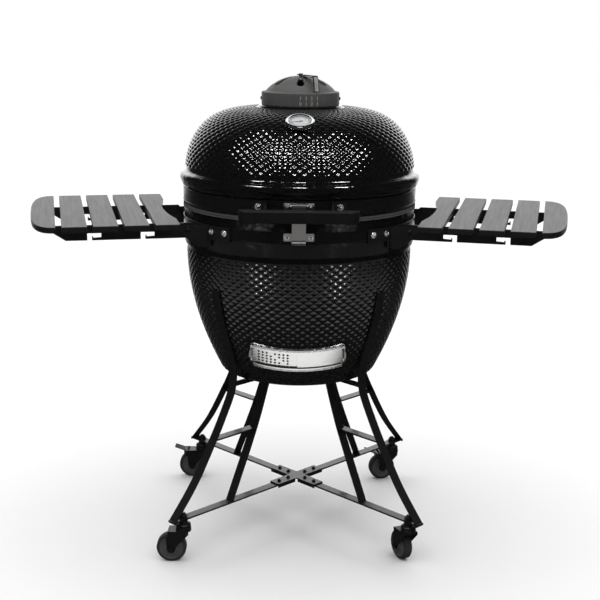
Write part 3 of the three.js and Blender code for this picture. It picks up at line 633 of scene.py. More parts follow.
def dimpled_shell(textured, before, after, flatten, opening=None):
    """A turned shell whose textured stretch has raised lens-shaped dimples in staggered rows.

    The profile runs before, textured, after, as (radius, z) points. flatten(angle, z) is 1
    where the dimples fade out. opening is the window through the wall, as angles and heights.
    """
    fine = resampled(textured, ROW_PITCH / STEPS_PER_ROW)
    profile = [np.array(p, float) for p in before] + fine + [np.array(p, float) for p in after]
    first, last = len(before), len(before) + len(fine)
    sides = COLUMNS * STEPS_PER_COLUMN
    angles = np.arange(sides) * 360 / sides
    lengths = np.zeros(len(profile))
    for i in range(first + 1, last):
        lengths[i] = lengths[i - 1] + np.linalg.norm(profile[i] - profile[i - 1])
    whole = lengths[last - 1]
    points, rows = [], []
    for i, (radius, z) in enumerate(profile):
        if radius == 0:
            rows.append([len(points)])
            points.append((0.0, 0.0, z))
            continue
        out = np.zeros(sides)
        slope = np.array([0.0, 0.0])
        if first < i < last - 1:
            along = profile[i + 1] - profile[i - 1]
            slope = np.array([along[1], -along[0]]) / np.linalg.norm(along)
            slope = slope if slope[0] > 0 or slope[1] * (z - 700) > 0 else -slope
            lens = lens_height(angles * COLUMNS / 180, lengths[i] / ROW_PITCH)
            fade = eased(lengths[i], 0, 8) * eased(whole - lengths[i], 0, 8)
            out = DIMPLE_DEPTH * (lens - 0.45) * fade * (1 - flatten(angles, z))
        reach = radius + out * slope[0]
        height = z + out * slope[1]
        turn = np.radians(angles)
        rows.append(list(range(len(points), len(points) + sides)))
        points += list(zip(reach * np.sin(turn), -reach * np.cos(turn), height))
    hidden = opening_rows(profile, opening) if opening else []
    columns = opening_columns(sides, opening) if opening else range(0)
    faces = []
    pairs = list(zip(range(len(rows)), range(1, len(rows))))
    if len(rows[0]) > 1:
        pairs.append((len(rows) - 1, 0))
    for low, high in pairs:
        a, b = rows[low], rows[high]
        cut = any(start <= low < end for start, end in hidden)
        for i in range(sides):
            if cut and i in columns:
                continue
            j = (i + 1) % sides
            face = tuple(dict.fromkeys([a[i % len(a)], a[j % len(a)], b[j % len(b)], b[i % len(b)]]))
            faces.append(face)
    if opening:
        faces += opening_walls(rows, hidden, columns)
    return Shape(points, faces)


def opening_rows(profile, opening):
    """The spans of rows, outside and inside, that the opening passes through."""
    _, _, low, high = opening
    inside = [i for i, (radius, z) in enumerate(profile) if low <= z <= high and radius > 100]
    split = next(k for k in range(1, len(inside)) if inside[k] != inside[k - 1] + 1)
    return [(inside[0], inside[split - 1]), (inside[split], inside[-1])]


def opening_columns(sides, opening):
    start, end, _, _ = opening
    return range(round((360 + start) * sides / 360) % sides, round((360 + end) * sides / 360) % sides)


def opening_walls(rows, hidden, columns):
    (out_low, out_high), (in_high, in_low) = hidden
    faces = []
    for outer, inner in ((out_low, in_low), (out_high, in_high)):
        for i in columns:
            faces.append((rows[outer][i], rows[outer][i + 1], rows[inner][i + 1], rows[inner][i]))
    for i in (columns[0], columns[-1] + 1):
        edge = [rows[k][i] for k in range(out_low, out_high + 1)]
        edge += [rows[k][i] for k in range(in_high, in_low + 1)]
        faces.append(tuple(edge))
    return faces


def dome_profile(radius, height, end_radius, count):
    """The dome swells like a superellipse over the lip."""
    flat, steep = DOME_POWERS
    profile = []
    for i in range(count + 1):
        r = radius - (radius - end_radius) * (i / count) ** 1.7
        rise = (1 - (r / radius) ** flat) ** (1 / steep)
        profile.append((r, DOME["foot"] + height * rise))
    return profile


def build_lid():
    lip = [
        (BOWL["radius"] - 28, LID_RIM + 2), (BOWL["radius"] - 26, LID_RIM),
        (BOWL["radius"] - 2, LID_RIM), (BOWL["radius"], LID_RIM + 2), (BOWL["radius"], 921),
        (299.5, 923), (303, LIP["bottom"]), (305, 930), (308.4, 939), (LIP["radius"], 946),
        (309.4, 952), (307, 956.4), (303, LIP["top"]), (297, 960), (294, 963.6),
    ]
    outside = dome_profile(DOME["radius"], DOME["height"], DOME["collar"], 90)
    collar = [(106.5, 1121), (105.5, 1122.8), (103, DOME["top"]), (VENT_HOLE + 1.5, DOME["top"]),
              (VENT_HOLE, DOME["top"] - 1.5)]
    inside = dome_profile(DOME_INNER, DOME["height"] - 24, VENT_HOLE, 14)[::-1]
    shell = dimpled_shell(outside, lip, collar + inside, lambda angle, z: 0.0 * angle)
    bare = lambda c: is_lid_inside(math.hypot(c.x, c.y), c.z)
    build("lid_shell", shell, LID_GLAZE, "lid", ["lid_dome"], smooth=50, inside=bare)


def is_lid_inside(radius, z):
    if z < LID_RIM + 1 or radius < VENT_HOLE + 0.5:
        return True
    if z < DOME["foot"]:
        return radius < 271
    rise = (z - DOME["foot"]) / (DOME["height"] - 24)
    if rise >= 1:
        return radius < 73
    flat, steep = DOME_POWERS
    return radius < DOME_INNER * (1 - rise**steep) ** (1 / flat) + 5


def near_draft_frame(angle, z):
    """1 under the draft door's frame, so that the dimples don't reach into it."""
    side = np.abs(np.where(angle > 180, angle - 360, angle))
    middle = DRAFT["z"] - DRAFT["radius"] * np.cos(np.radians(side)) * math.sin(math.radians(DRAFT["tilt"]))
    across = 1 - eased(side, DRAFT["half_angle"] + 1, DRAFT["half_angle"] + 3.5)
    return across * (1 - eased(np.abs(z - middle), 31, 37))


def build_bowl():
    foot = bezier(BOWL_FOOT, 7)[::-1]
    side = bezier(BOWL_SIDE, 60)[::-1]
    rim = [(291.5, 771), (294.5, 775), (296.4, 780), (BOWL["radius"], 786),
           (BOWL["radius"], BOWL["rim"] - 2), (BOWL["radius"] - 2, BOWL["rim"]),
           (BOWL["radius"] - 26, BOWL["rim"]), (BOWL["radius"] - 28, BOWL["rim"] - 2)]
    inner = bezier(BOWL_INNER, 60)
    textured = foot[4:] + side[1:]
    shell = dimpled_shell(textured, [(0, 431)] + foot[:4], rim + inner + [(160, 456), (0, 456)],
                          near_draft_frame, opening=(-22.6, -2.6, 507, 538))
    bare = lambda c: is_bowl_inside(math.hypot(c.x, c.y), c.z)
    build("bowl_shell", shell, BOWL_GLAZE, "base", ["base_bowl"], smooth=50, inside=bare)


def is_bowl_inside(radius, z):
    if z > BOWL["rim"] - 1:
        return True
    if z < 452:
        return False
    nearest = min(bezier(BOWL_INNER, 24), key=lambda p: abs(p[1] - z))
    limit = 271 if z > 765 else nearest[0] + 8
    return radius < limit


# ---------------------------------------------------------------- bands and felt


def rolled_band(inner, outer, low, high):
    """A steel band with rolled edges and a shallow bead along each edge."""
    r = outer
    return lathe([
        (inner, low + 1), (inner + 0.6, low), (r - 0.4, low), (r + 0.2, low + 0.8),
        (r + 0.2, low + 2.6), (r - 0.6, low + 3.6), (r - 0.6, high - 3.6), (r + 0.2, high - 2.6),
        (r + 0.2, high - 0.8), (r - 0.4, high), (inner + 0.6, high), (inner, high - 1),
    ], 192)


def build_bands():
    for node, body in (("lid_band", "lid"), ("base_band", "base")):
        low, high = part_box(node)
        outer = high.x / MM
        band = rolled_band(outer - 2.4, outer, low.z / MM, high.z / MM)
        build(node + "_rolled", band, BAND, body, [node])
    for node, body in (("lid_gasket", "lid"), ("base_gasket", "base")):
        low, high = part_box(node)
        outer, bottom, top = high.x / MM, low.z / MM, high.z / MM
        middle = (bottom + top) / 2
        felt = lathe([(outer - 28.5, bottom), (outer - 1.6, bottom), (outer - 0.2, bottom + 1),
                      (outer, middle), (outer - 0.2, top - 1), (outer - 1.6, top),
                      (outer - 28.5, top)], 192)
        build(node + "_felt", felt, FELT, body, [node], smooth=60)


# ---------------------------------------------------------------- inside the base


def grate_bars(radius, pitch, bar, low, high, cross=()):
    """A round grate: a rim, parallel bars, and the bars that cross them."""
    rim = ring(radius - 9, radius, low, high)
    bars = []
    count = int((radius - 12) // pitch)
    for i in range(-count, count + 1):
        x = i * pitch
        reach = math.sqrt((radius - 5) ** 2 - x**2)
        bars.append(block((x - bar / 2, -reach, low + 0.5), (x + bar / 2, reach, high - 0.2)))
    for y in cross:
        reach = math.sqrt((radius - 5) ** 2 - y**2)
        bars.append(block((-reach, y - bar / 2, low), (reach, y + bar / 2, high - 1)))
    return rim, bars


def build_inside():
    box = lathe([
        (0, 457), (146, 457), (150, 459), (170, 468), (206, 543), (228, 616), (240, 700), (242, 720),
        (240, 722), (220, 722), (218, 720), (204, 616), (190, 558), (188, 556), (170, 556),
        (168, 554), (150, 484), (147, 482), (0, 482),
    ], 96)
    draft = block((-80, -260, 492), (80, -120, 548))
    air = [rod(9, around(200, angle, 640), around(260, angle, 640)) for angle in (90, 180, 270)]
    build("fire_box_clay", carved(box, draft, *air), CLAY, "base", ["fire_box"])
    collar = lathe([(223, 722.4), (245, 722.4), (247, 724.5), (261.5, 837), (260, 839), (240, 839),
                    (238, 837), (222, 724.5)], 96)
    build("fire_ring_clay", collar, CLAY, "base", ["fire_ring"])
    for node, pitch, bar, cross in (("charcoal_grate", 22, 8, (-95, 0, 95)),
                                    ("cooking_grate", 17, 5, (-130, 0, 130))):
        low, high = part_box(node)
        rim, bars = grate_bars(high.x / MM, pitch, bar, low.z / MM, high.z / MM, cross)
        build(node + "_bars", merged([rim] + bars), IRON, "base", [node], bevel=1.0)


# ---------------------------------------------------------------- rear hinge


def hinge_eye(x0, x1, low, high, eye):
    outline = [(301, low), (HINGE["y"] - 12, min(low, HINGE["z"] - eye)),
               *arc(HINGE["y"], HINGE["z"], eye, -90, 120), (301, high)]
    shape = plate(outline, x0, x1, "yzx")
    bore = rod(HINGE["pin"] + 0.4, (x0 - 5, HINGE["y"], HINGE["z"]), (x1 + 5, HINGE["y"], HINGE["z"]))
    return carved(shape, bore)


def build_hinge():
    angle_of = lambda x: 180 - math.degrees(x / CLAMP["outer"])
    leaves = [
        ("hinge_base", "base", 806, 846, 832, (40, 45, 812, 846, 18)),
        ("hinge_arm", "lid", 886, 918, 904, (33, 39, 889, 917, 13)),
    ]
    for node, body, low, high, bolt_z, (near, far, bottom, top, eye) in leaves:
        leaf = bent_plate(angle_of(68), angle_of(-68), low, high, CLAMP["inner"], CLAMP["outer"], 6)
        eyes = [hinge_eye(*span(side, near, far), bottom, top, eye) for side in (-1, 1)]
        build(node + "_leaf", merged([leaf] + eyes), COATED, body, [node], bevel=0.8)
        bolts = [bolt_round(CLAMP["outer"], angle_of(x), bolt_z) for x in (-57, 57)]
        build(node + "_bolts", merged(bolts), ZINC, body, bevel=0.3)
    along = lambda x: (x, HINGE["y"], HINGE["z"])
    pin = rod(HINGE["pin"], along(-49), along(49), 32)
    ends = [rod(9, along(-50), along(-46), 6), rod(9, along(46), along(50), 6)]
    build("hinge_pin_bolt", merged([pin] + ends), ZINC, "base", ["hinge_pin"], bevel=0.6)
    turns = 8
    path = []
    for i in range(turns * 20 + 1):
        a = 2 * math.pi * i / 20
        path.append((-26 + 52 * i / (turns * 20), HINGE["y"] + 10.4 * math.cos(a),
                     HINGE["z"] + 10.4 * math.sin(a)))
    build("hinge_spring_coil", tube(path, 1.9), SPRING, "base", ["hinge_spring"], smooth=60)


# ---------------------------------------------------------------- handle and latch


def build_handle():
    low, high = (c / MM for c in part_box("handle_grip"))
    outline = [(low.x, high.y), (low.x, high.y - 13), (low.x + 12, low.y), (high.x - 12, low.y),
               (high.x, high.y - 13), (high.x, high.y)]
    grip = plate(outline, low.z, high.z)
    build("handle_bar", grip, GRIP, "lid", ["handle_grip"], bevel=3.2, steps=4)
    for name, side in SIDES:
        start, end = span(side, 14.5, 21.5)
        flange = bent_plate(start, end, 893, 917, CLAMP["inner"], CLAMP["outer"], 4, 6)
        x0, x1 = span(side, 77, 80)
        arm = plate([(-295, 893), (-295, 915), (high.y + 0.4, 903), (high.y + 0.4, 881)], x0, x1, "yzx")
        node = "handle_arm_" + name
        build(node + "_plate", flange + arm, COATED, "lid", [node], bevel=0.6)
        build(node + "_bolt", bolt_round(CLAMP["outer"], side * 18.6, 905), ZINC, "lid", bevel=0.3)


def build_latch():
    pin_at = lambda x: (x, LATCH_PIN["y"], LATCH_PIN["z"])
    flange = bent_plate(-6.9, 6.9, 898, 916, CLAMP["inner"], CLAMP["outer"], 3)
    ear = rounded([(-301, 899), (-301, 916), (-316, 916), (-319, 911), (-317, 904)], 2)
    ears = [plate(ear, *span(side, 18.3, 20.3), "yzx") for side in (-1, 1)]
    clamp = merged([flange, *ears, rod(2, pin_at(-21), pin_at(21))])
    build("latch_clamp", clamp, STEEL, "lid", ["latch_bracket"], bevel=0.4)
    bolts = merged(bolt_round(CLAMP["outer"], angle, 907, 4.5) for angle in (-5.15, 5.15))
    build("latch_clamp_bolts", bolts, ZINC, "lid", bevel=0.25)
    curve = [(-317.4, 911), (-318.2, 890), (-318.8, 860), (-319.2, 838), (-319.6, 829), (-322, 823.5),
             (-325.4, 819.8)]
    strap = plate(strip(spline(curve, 24), 1.8), -16.5, 16.5, "yzx")
    eye = rod(4.4, pin_at(-17), pin_at(17))
    build("latch_strap", strap + eye, DARK_STEEL, "latch", ["latch_plate"], bevel=0.35)
    base = bent_plate(-6.9, 6.9, 825, 844, CLAMP["inner"], CLAMP["outer"], 3)
    nose = plate(rounded([(-302, 828), (-302, 842), (-311, 840), (-316, 835), (-311, 830)], 2),
                 -15, 15, "yzx")
    build("latch_keeper", base + nose, DARK_STEEL, "base", ["latch_catch"], bevel=0.4)
    bolts = merged(bolt_round(CLAMP["outer"], angle, 834, 4.5) for angle in (-5.3, 5.3))
    build("latch_keeper_bolts", bolts, ZINC, "base", bevel=0.25)


# ---------------------------------------------------------------- thermometer


def on_gauge(shape):
    return shape.turned("X", GAUGE["tilt"]).moved(0, GAUGE["y"], GAUGE["z"])


def build_gauge():
    r = GAUGE["radius"]
    bezel = lathe([
        (r - 8, 2), (r - 3, 2), (r - 0.6, 4), (r, 7), (r - 0.3, 10), (r - 1.6, 12.4), (r - 3.6, 13.5),
        (r - 5.6, 13.2), (r - 7, 12), (r - 7.8, 10.4), (r - 9.4, 9.2), (r - 9.4, 8),
    ], 96)
    probe = lathe([(0, -95), (3, -94), (4, -90), (4, 3), (0, 3)], 24)
    build("gauge_bezel", on_gauge(bezel + probe), CHROME, "lid", ["thermometer_case"])
    face = lathe([(0, 3), (r - 8, 3), (r - 8, 8.6), (r - 9, 9), (0, 9)], 64)
    build("gauge_face", on_gauge(face), DIAL, "lid")
    zone = ring(r - 13.8, r - 13, 9, 9.15, 64)
    rim = ring(r - 11.6, r - 9, 9, 9.3, 64)
    marks = [zone, rim]
    for i in range(31):
        length, width = (4.2, 0.8) if i % 5 == 0 else (2.4, 0.4)
        mark = block((-width / 2, r - 13 - length, 8.9), (width / 2, r - 13, 9.16))
        marks.append(mark.turned("Z", 135 - 9 * i))
    build("gauge_marks", on_gauge(merged(marks)), INK, "lid")
    needle = plate([(-1.6, -7), (1.6, -7), (0.5, 21), (-0.5, 21)], 9.5, 10.1)
    hub = lathe([(0, 9.2), (2.6, 9.2), (2.6, 10.4), (1.8, 10.9), (0, 10.9)], 32)
    body = "thermometer_pointer"
    build("gauge_needle", on_gauge((needle + hub).turned("Z", GAUGE["rest"])), INK, body, [body])
    glass = lathe([(0, 11.4), (r - 8, 11.2), (r - 7.6, 11.6), (r - 14, 12.4), (0, 12.8)], 64)
    build("gauge_lens", on_gauge(glass), GLASS, "lid")


# ---------------------------------------------------------------- top vent


def vent_slots(low=1150, high=1210):
    """Six teardrop slots with their wide round ends towards the rim."""
    outline = arc(0, -62, 10.5, 189, 351, 18) + [(2.5, -26), (0, -24), (-2.5, -26)]
    slot = plate(outline, low, high)
    return [slot.turned("Z", 60 * i) for i in range(6)]


def build_vent():
    r, ledge, top = VENT["radius"], VENT["ledge"], VENT["top"]
    crown = bezier([(r - 12, ledge + 3.2), (r - 24, ledge + 17), (56, ledge + 30), (28, top - 2.4)], 12)
    under = [(x * 0.955, z - 4.2) for x, z in crown[::-1]]
    shell = lathe([
        (r - 1, VENT["bottom"]), (r, VENT["bottom"] + 1.2), (r, ledge - 2.5), (r - 0.8, ledge - 0.8),
        (r - 2.4, ledge), (r - 8, ledge + 0.9), (r - 10, ledge + 1.6), *crown, (14, top - 0.5),
        (0, top), (0, top - 4), *under, (r - 9, ledge - 4), (r - 5, ledge - 6), (r - 5, VENT["bottom"]),
    ], 144)
    cap = carved(shell, *vent_slots())
    build("vent_cap_iron", cap, IRON, "lid", ["vent_cap"], bevel=0.7)
    screws = []
    for side in (-90, 90):
        head = lathe([(0, -1), (4.2, -1), (4.2, 1.4), (3.4, 2.6), (0, 3.1)], 24)
        screws.append(aimed(head, around(r, side, 1140), around(1, side)))
    build("vent_cap_screws", merged(screws), COATED, "lid")
    scale = []
    for index in range(4):
        angle = index * LEVER_ANGLE / 3
        tick = bent_plate(angle - 0.36, angle + 0.36, 1140, 1149.5, r - 0.3, r + 0.25, 0.1, 2)
        scale.append(tick)
        scale.append(on_skirt(digit(str(index), 12), angle, 1131.5, r - 0.2))
    build("vent_scale", merged(scale), MARKS, "lid")
    inner = [(x * 0.93, z - 8.2) for x, z in crown]
    damper = lathe([(r - 17.5, ledge - 4), *inner, (0, top - 8), (0, top - 9.4),
                    *[(x - 1.2, z - 1.6) for x, z in inner[::-1]], (r - 19, ledge - 5)], 96)
    hub = ring(0, 13, 1152, 1186, 32)
    build("vent_damper_disc", carved(damper, *vent_slots()) + hub, COATED, "vent_damper",
          ["vent_damper"], bevel=0.4)
    build_lever()


def digit(character, size):
    """A figure as flat raised print, in X and Z."""
    letter = bpy.data.curves.new("digit", "FONT")
    letter.body, letter.size, letter.extrude = character, size, 0.25
    letter.align_x, letter.align_y = "CENTER", "CENTER"
    return shape_of(added("digit", letter)).turned("X", 90)


def on_skirt(shape, angle, z, radius):
    return shape.moved(y=-radius).turned("Z", angle).moved(z=z)


def build_lever():
    """The bent strap that turns the damper, with a nut on top and a grey grip at its end."""
    top, ledge = VENT["top"], VENT["ledge"]
    path = spline([(8, top + 2.5), (-40, top + 2.6), (-78, top + 2.4), (-86, top - 1), (-90, top - 12),
                   (-93, ledge + 10), (-94.5, ledge + 4.5)], 40)
    strap = plate(strip(path, 2.6), -7.2, 7.2, "yzx")
    shaft = rod(4.4, (0, 0, top - 6), (0, 0, top + 3))
    lever = (strap + shaft).turned("Z", LEVER_ANGLE)
    build("vent_lever", lever, COATED, "vent_damper", bevel=0.5)
    face = [(y - 1.6, z) for y, z in path[19:-1]]
    grip = plate(strip(face, 1.4), -5, 5, "yzx").turned("Z", LEVER_ANGLE)
    build("vent_lever_grip", grip, LEVER_GREY, "vent_damper", bevel=0.3)
    nut = lathe([(0, top + 3.4), (6.4, top + 3.4), (6.4, top + 5.4), (5, top + 6), (0, top + 6)], 6)
    build("vent_lever_nut", nut, COATED, "vent_damper", bevel=0.3)


# ---------------------------------------------------------------- draft door


def on_draft(shape):
    return shape.turned("X", DRAFT["tilt"]).moved(z=DRAFT["z"])


def draft_tab(outline, radius, angle):
    """A flat tab that stands out from a sliding sheet."""
    return on_draft(plate(outline, -TAB, TAB, "yzx").turned("Z", angle).moved(*around(radius, angle)))


def build_draft():
    radius, half, wide = DRAFT["radius"], DRAFT["half_height"], DRAFT["half_angle"] - 0.8
    back = radius + 0.8
    sheet = bent_plate(-wide, wide, -half, half, back, back + 1.8, 9, 40)
    window = bent_plate(-23, -2, -19, 19, back - 6, back + 6, 2, 24)
    rails = []
    for side in (-1, 1):
        for near, step in ((26.5, 1), (23, 7.4)):
            low, high = span(side, near, half)
            rails.append(bent_plate(-24.5, 24.5, low, high, back + step, back + 9, 2, 40))
        start, end = span(side, wide - 0.5, wide)
        rails.append(bent_plate(start, end, -half + 8, half - 8, back + 1, back + 4, 1, 4))
    frame_shape = merged([carved(sheet, window)] + rails)
    build("draft_frame_steel", on_draft(frame_shape), STEEL, "base", ["draft_frame"], bevel=0.5)
    screws = []
    for angle in (-25.5, 25.5):
        for z in (-27, 27):
            head = carved(lathe([(0, 0), (3, 0), (2.8, 1.3), (0, 1.9)], 24),
                          block((-0.4, -4, 1.1), (0.4, 4, 3)))
            screws.append(aimed(head, around(back + 1.8, angle, z), around(1, angle)))
    build("draft_frame_screws", on_draft(merged(screws)), ZINC, "base")
    inner, outer = radius + 3.2, radius + 4.4
    sheet = bent_plate(-24.6, -0.4, -26, 26, inner, outer, 1, 40)
    holes = []
    for column in range(8):
        for row in range(-3, 3):
            if column + row == 4 and -3 < row < 2:
                continue
            angle, z = -21.6 + 2.32 * column, 4.4 + 8.7 * row
            holes.append(rod(2.9, around(inner - 3, angle, z), around(outer + 3, angle, z), 14))
    tongue = bent_plate(-26.6, -24, -15, 15, inner, outer, 1, 3)
    tab = draft_tab([(1, 12.5), *arc(0, 0, 12.5, 90, 270, 10), (1, -12.5)], outer - 1, -26.4)
    build("draft_screen_steel", on_draft(carved(sheet, *holes) + tongue), STEEL,
          "draft_screen", ["draft_screen"], bevel=0.25)
    build("draft_screen_tab", tab, DARK_STEEL, "draft_screen", bevel=0.25)
    inner, outer = radius + 5.4, radius + 6.6
    sheet = bent_plate(-0.2, 24.6, -26, 26, inner, outer, 1, 30)
    tongue = bent_plate(24, 26.2, -13, 13, inner, outer, 1, 3)
    outline = [(0, -13), (-10, -12), (-11, -10), (-11, 10), (-10, 12), (0, 13)]
    build("draft_door_steel", on_draft(sheet + tongue), STEEL, "draft_door", ["draft_door"], bevel=0.3)
    build("draft_door_tab", draft_tab(outline, outer - 0.8, 26), DARK_STEEL, "draft_door", bevel=0.3)


# ---------------------------------------------------------------- side shelves


def slat_outline(index):
    x0 = SLAT["inner"] + index * SLAT["pitch"]
    x1 = x0 + SLAT["width"]
    half = SLAT["length"] / 2
    if index == 0:
        hollow = bezier([(x0, -167), (x0 + 33, 0), (x0, 167)], 28)
        return [(x0, half), (x1, half), (x1, -half), (x0, -half)] + hollow
    if index == SLAT["count"] - 1:
        lower = bezier([(x1, 0), (x1, -150), (x1 - 6, -half), (x0 + 4, -half)], 22)
        upper = [(x, -y) for x, y in lower[::-1]][:-1]
        return [(x0, -half)] + [(x0, half)] + upper + lower
    return [(x0, half), (x1, half), (x1, -half), (x0, -half)]


def rail_outline():
    top = SHELF_TOP - SLAT_THICKNESS - 0.4
    bottom = top - RAIL["height"]
    outer = SLAT["inner"] + 4 * SLAT["pitch"] + 24
    outline = [(PIVOT["x"] - 13, bottom + 5), (PIVOT["x"] - 13, top - 4), (PIVOT["x"] - 9, top),
               (outer, top), (outer, top - 6), (outer - 48, bottom)]
    for x in (SLAT["inner"] + 179, SLAT["inner"] + 52):
        outline += [(x + 33, bottom), (x + 33, bottom + 17), (x, bottom + 17), (x, bottom + 7),
                    (x + 19, bottom + 6), (x + 19, bottom + 9.5), (x + 22, bottom + 9.5),
                    (x + 22, bottom)]
    outline += [(PIVOT["x"], bottom)]
    return outline


def build_shelf(name, side):
    place = lambda shape: (shape if side > 0 else shape.mirrored()).turned("Z", -side * SWEEP)
    body = name + "_shelf"
    for index in range(SLAT["count"]):
        board = place(plate(slat_outline(index), SHELF_TOP - SLAT_THICKNESS, SHELF_TOP))
        node = f"{name}_slat_{index + 1}"
        build(node + "_wood", board, WOOD[side], body, [node], bevel=1.6, steps=3)
    for end_name, end in (("front", -1), ("rear", 1)):
        y0, y1 = (end * RAIL["offset"] + t for t in (-RAIL["thickness"] / 2, RAIL["thickness"] / 2))
        pivot = rod(4.4, (PIVOT["x"], y0 - 5, PIVOT["z"]), (PIVOT["x"], y1 + 5, PIVOT["z"]))
        rail = place(carved(plate(rail_outline(), y0, y1, "xzy"), pivot))
        node = f"{name}_rail_{end_name}"
        build(node + "_steel", rail, COATED, body, [node], bevel=0.5)
        screws = []
        for index in range(SLAT["count"]):
            x = SLAT["inner"] + index * SLAT["pitch"] + SLAT["width"] / 2 - (8 if index == 4 else 0)
            lug = block((x - 9, y0 - 12 * end - 6, 849.4), (x + 9, y1 - 12 * end + 6, 851.6))
            head = lathe([(0, 846.6), (3.6, 847), (4.6, 849.6), (0, 849.6)], 16)
            screws += [lug, head.moved(x, end * RAIL["offset"] - 12 * end)]
        build(f"{name}_lugs_{end_name}", place(merged(screws)), COATED, body, bevel=0.3)
        build_bracket(name, side, end_name, end, place)


def build_bracket(name, side, end_name, end, place):
    plane = end * (RAIL["offset"] + 7)
    outline = rounded([(262, 792), (262, 846), (321, 846), (329, 840), (329, 831), (314, 816), (284, 792)],
                      3)
    shape = plate(outline, plane - 1.5, plane + 1.5, "xzy")
    facing = 90 + math.degrees(math.asin(plane / CLAMP["inner"]))
    start, stop = (facing - 14, facing + 0.6) if end < 0 else (facing - 0.6, facing + 14)
    flange = bent_plate(start, stop, 812, 846, CLAMP["inner"], CLAMP["outer"], 5, 10)
    body_cut = ring(150, CLAMP["inner"], 790, 860, 128)
    node = f"{name}_bracket_{end_name}"
    build(node + "_plate", place(carved(shape, body_cut) + flange), COATED, "base", [node], bevel=0.7)
    bolts = [bolt_round(CLAMP["outer"], facing + end * away, 832) for away in (2.8, 11)]
    at = lambda y: (PIVOT["x"], y, PIVOT["z"])
    head = bolt(at(plane + end * 1.5), (0, end, 0), 5)
    build(node + "_bolts", place(merged(bolts)), ZINC, "base", bevel=0.3)
    shank = rod(4, at(plane), at(plane - end * 13))
    nut = rod(7, at(plane - end * 9.8), at(plane - end * 13.5), 6)
    build(node + "_pivot", place(merged([head, shank, nut])), COATED, "base", bevel=0.4)


# ---------------------------------------------------------------- cart


def leg_shape():
    half = BAR["width"] / 2
    outer = spline([(289.5, 682), (275.5, 612), (255, 550), (236, 490), (230.5, 448), (240, 405),
                    (268, 350), (297, 300), (362, 198), (FOOT_RADIUS, 109)], 90)
    strut = spline([(111, 428), (160, 297), (246, 112)], 40)
    bars = [plate(strip(curve, BAR["thickness"]), -half, half, "xzy") for curve in (outer, strut)]
    for start, end, top in ((110, 232, 430.6), (160, 297, 299), (16, FOOT_RADIUS + 1, LOWER_BAR_TOP)):
        bars.append(block((start, -half, top - BAR["thickness"]), (end, half, top)))
    return bars


def weld(x, z, radius=2.2):
    """A short bead across the bar where two bars meet."""
    path = [(x, y, z + 0.5 * math.sin(y * 1.7)) for y in np.linspace(-10.5, 10.5, 15)]
    return tube(path, radius, 8)


def build_leg(place, angle):
    put = lambda shape: shape.turned("Z", angle)
    beads = [weld(162, 300.5), (weld(295, 300.5)), weld(241, 117), (weld(428, 118))]
    shape = put(merged(leg_shape()))
    build(f"leg_{place}_bars", shape, COATED, "base", ["leg_" + place], bevel=0.8)
    build(f"leg_{place}_welds", put(merged(beads)), COATED, "base", smooth=60)
    stem = lathe([
        (0, 78), (8, 78), (9, 79), (9, 80.5), (6, 80.5), (6, 93), (18, 93), (19, 94), (19, 98),
        (17, 100.5), (12, 102), (11, 103), (11, LOWER_BAR_TOP - 4.5), (0, LOWER_BAR_TOP - 4.5),
    ], 40)
    nut = lathe([(0, 0), (10.4, 0), (10.4, 7.4), (9, 9), (0, 9)], 6).moved(z=LOWER_BAR_TOP)
    tip = lathe([(0, 0), (6, 0), (6, 3.2), (4.6, 4.4), (0, 4.4)], 24).moved(z=LOWER_BAR_TOP + 8.6)
    washer = ring(0, 13, 0, 1.5, 32).moved(z=LOWER_BAR_TOP - 0.2)
    parts = merged([stem, nut, tip, washer]).moved(x=STEM_RADIUS)
    build(f"caster_stem_{place}", put(parts), COATED, "base", bevel=0.4)


def build_cross_plate():
    top = LOWER_BAR_TOP + 0.4
    outline, arms, bolts = [], [], []
    for i in range(4):
        angle = 45 + 90 * i
        turn = np.array(Matrix.Rotation(math.radians(angle), 2))
        outline += [tuple(turn @ corner) for corner in ((84, -17), (84, 17), (17, 17))]
        for side in (-1, 1):
            y0, y1 = span(side, 14.2, 17)
            arms.append(block((21, y0, top - 8), (84, y1, top + 0.5)).turned("Z", angle))
        for r in (32, 66):
            bolts.append(bolt((r, 0, top + 2.6), (0, 0, 1), 4.6).turned("Z", angle))
    arms.append(plate(rounded(outline, 2.5), top, top + 3))
    build("cross_plate_steel", merged(arms), COATED, "base", ["cross_plate"], bevel=0.8)
    build("cross_plate_bolts", merged(bolts), COATED, "base", bevel=0.3)


# ---------------------------------------------------------------- casters


def wheel_parts():
    """A wheel about its axle along Y: a hub disc with ribs between two rings, and a tread."""
    r = WHEEL["radius"]
    half = [(5.8, 14.5), (11.5, 14.5), (12.5, 13.5), (13.2, 9.5), (15, 8.6), (19.6, 8.4), (20.4, 9.2),
            (21.6, 9.2), (22.4, 8.4), (27.6, 8.6), (28.6, 10.4), (30.2, 11.2)]
    hub = lathe(half + [(a, -b) for a, b in half[::-1]], 72)
    shoulder = bezier([(30.4, 11.4), (r - 2, 11.6), (r, 8.2)], 8)
    middle = bezier([(r, 8.2), (r, 0), (r, -8.2)], 4)[1:-1]
    tread = lathe(shoulder + middle + [(a, -b) for a, b in shoulder[::-1]], 96)
    return hub.turned("X", 90), tread.turned("X", 90)


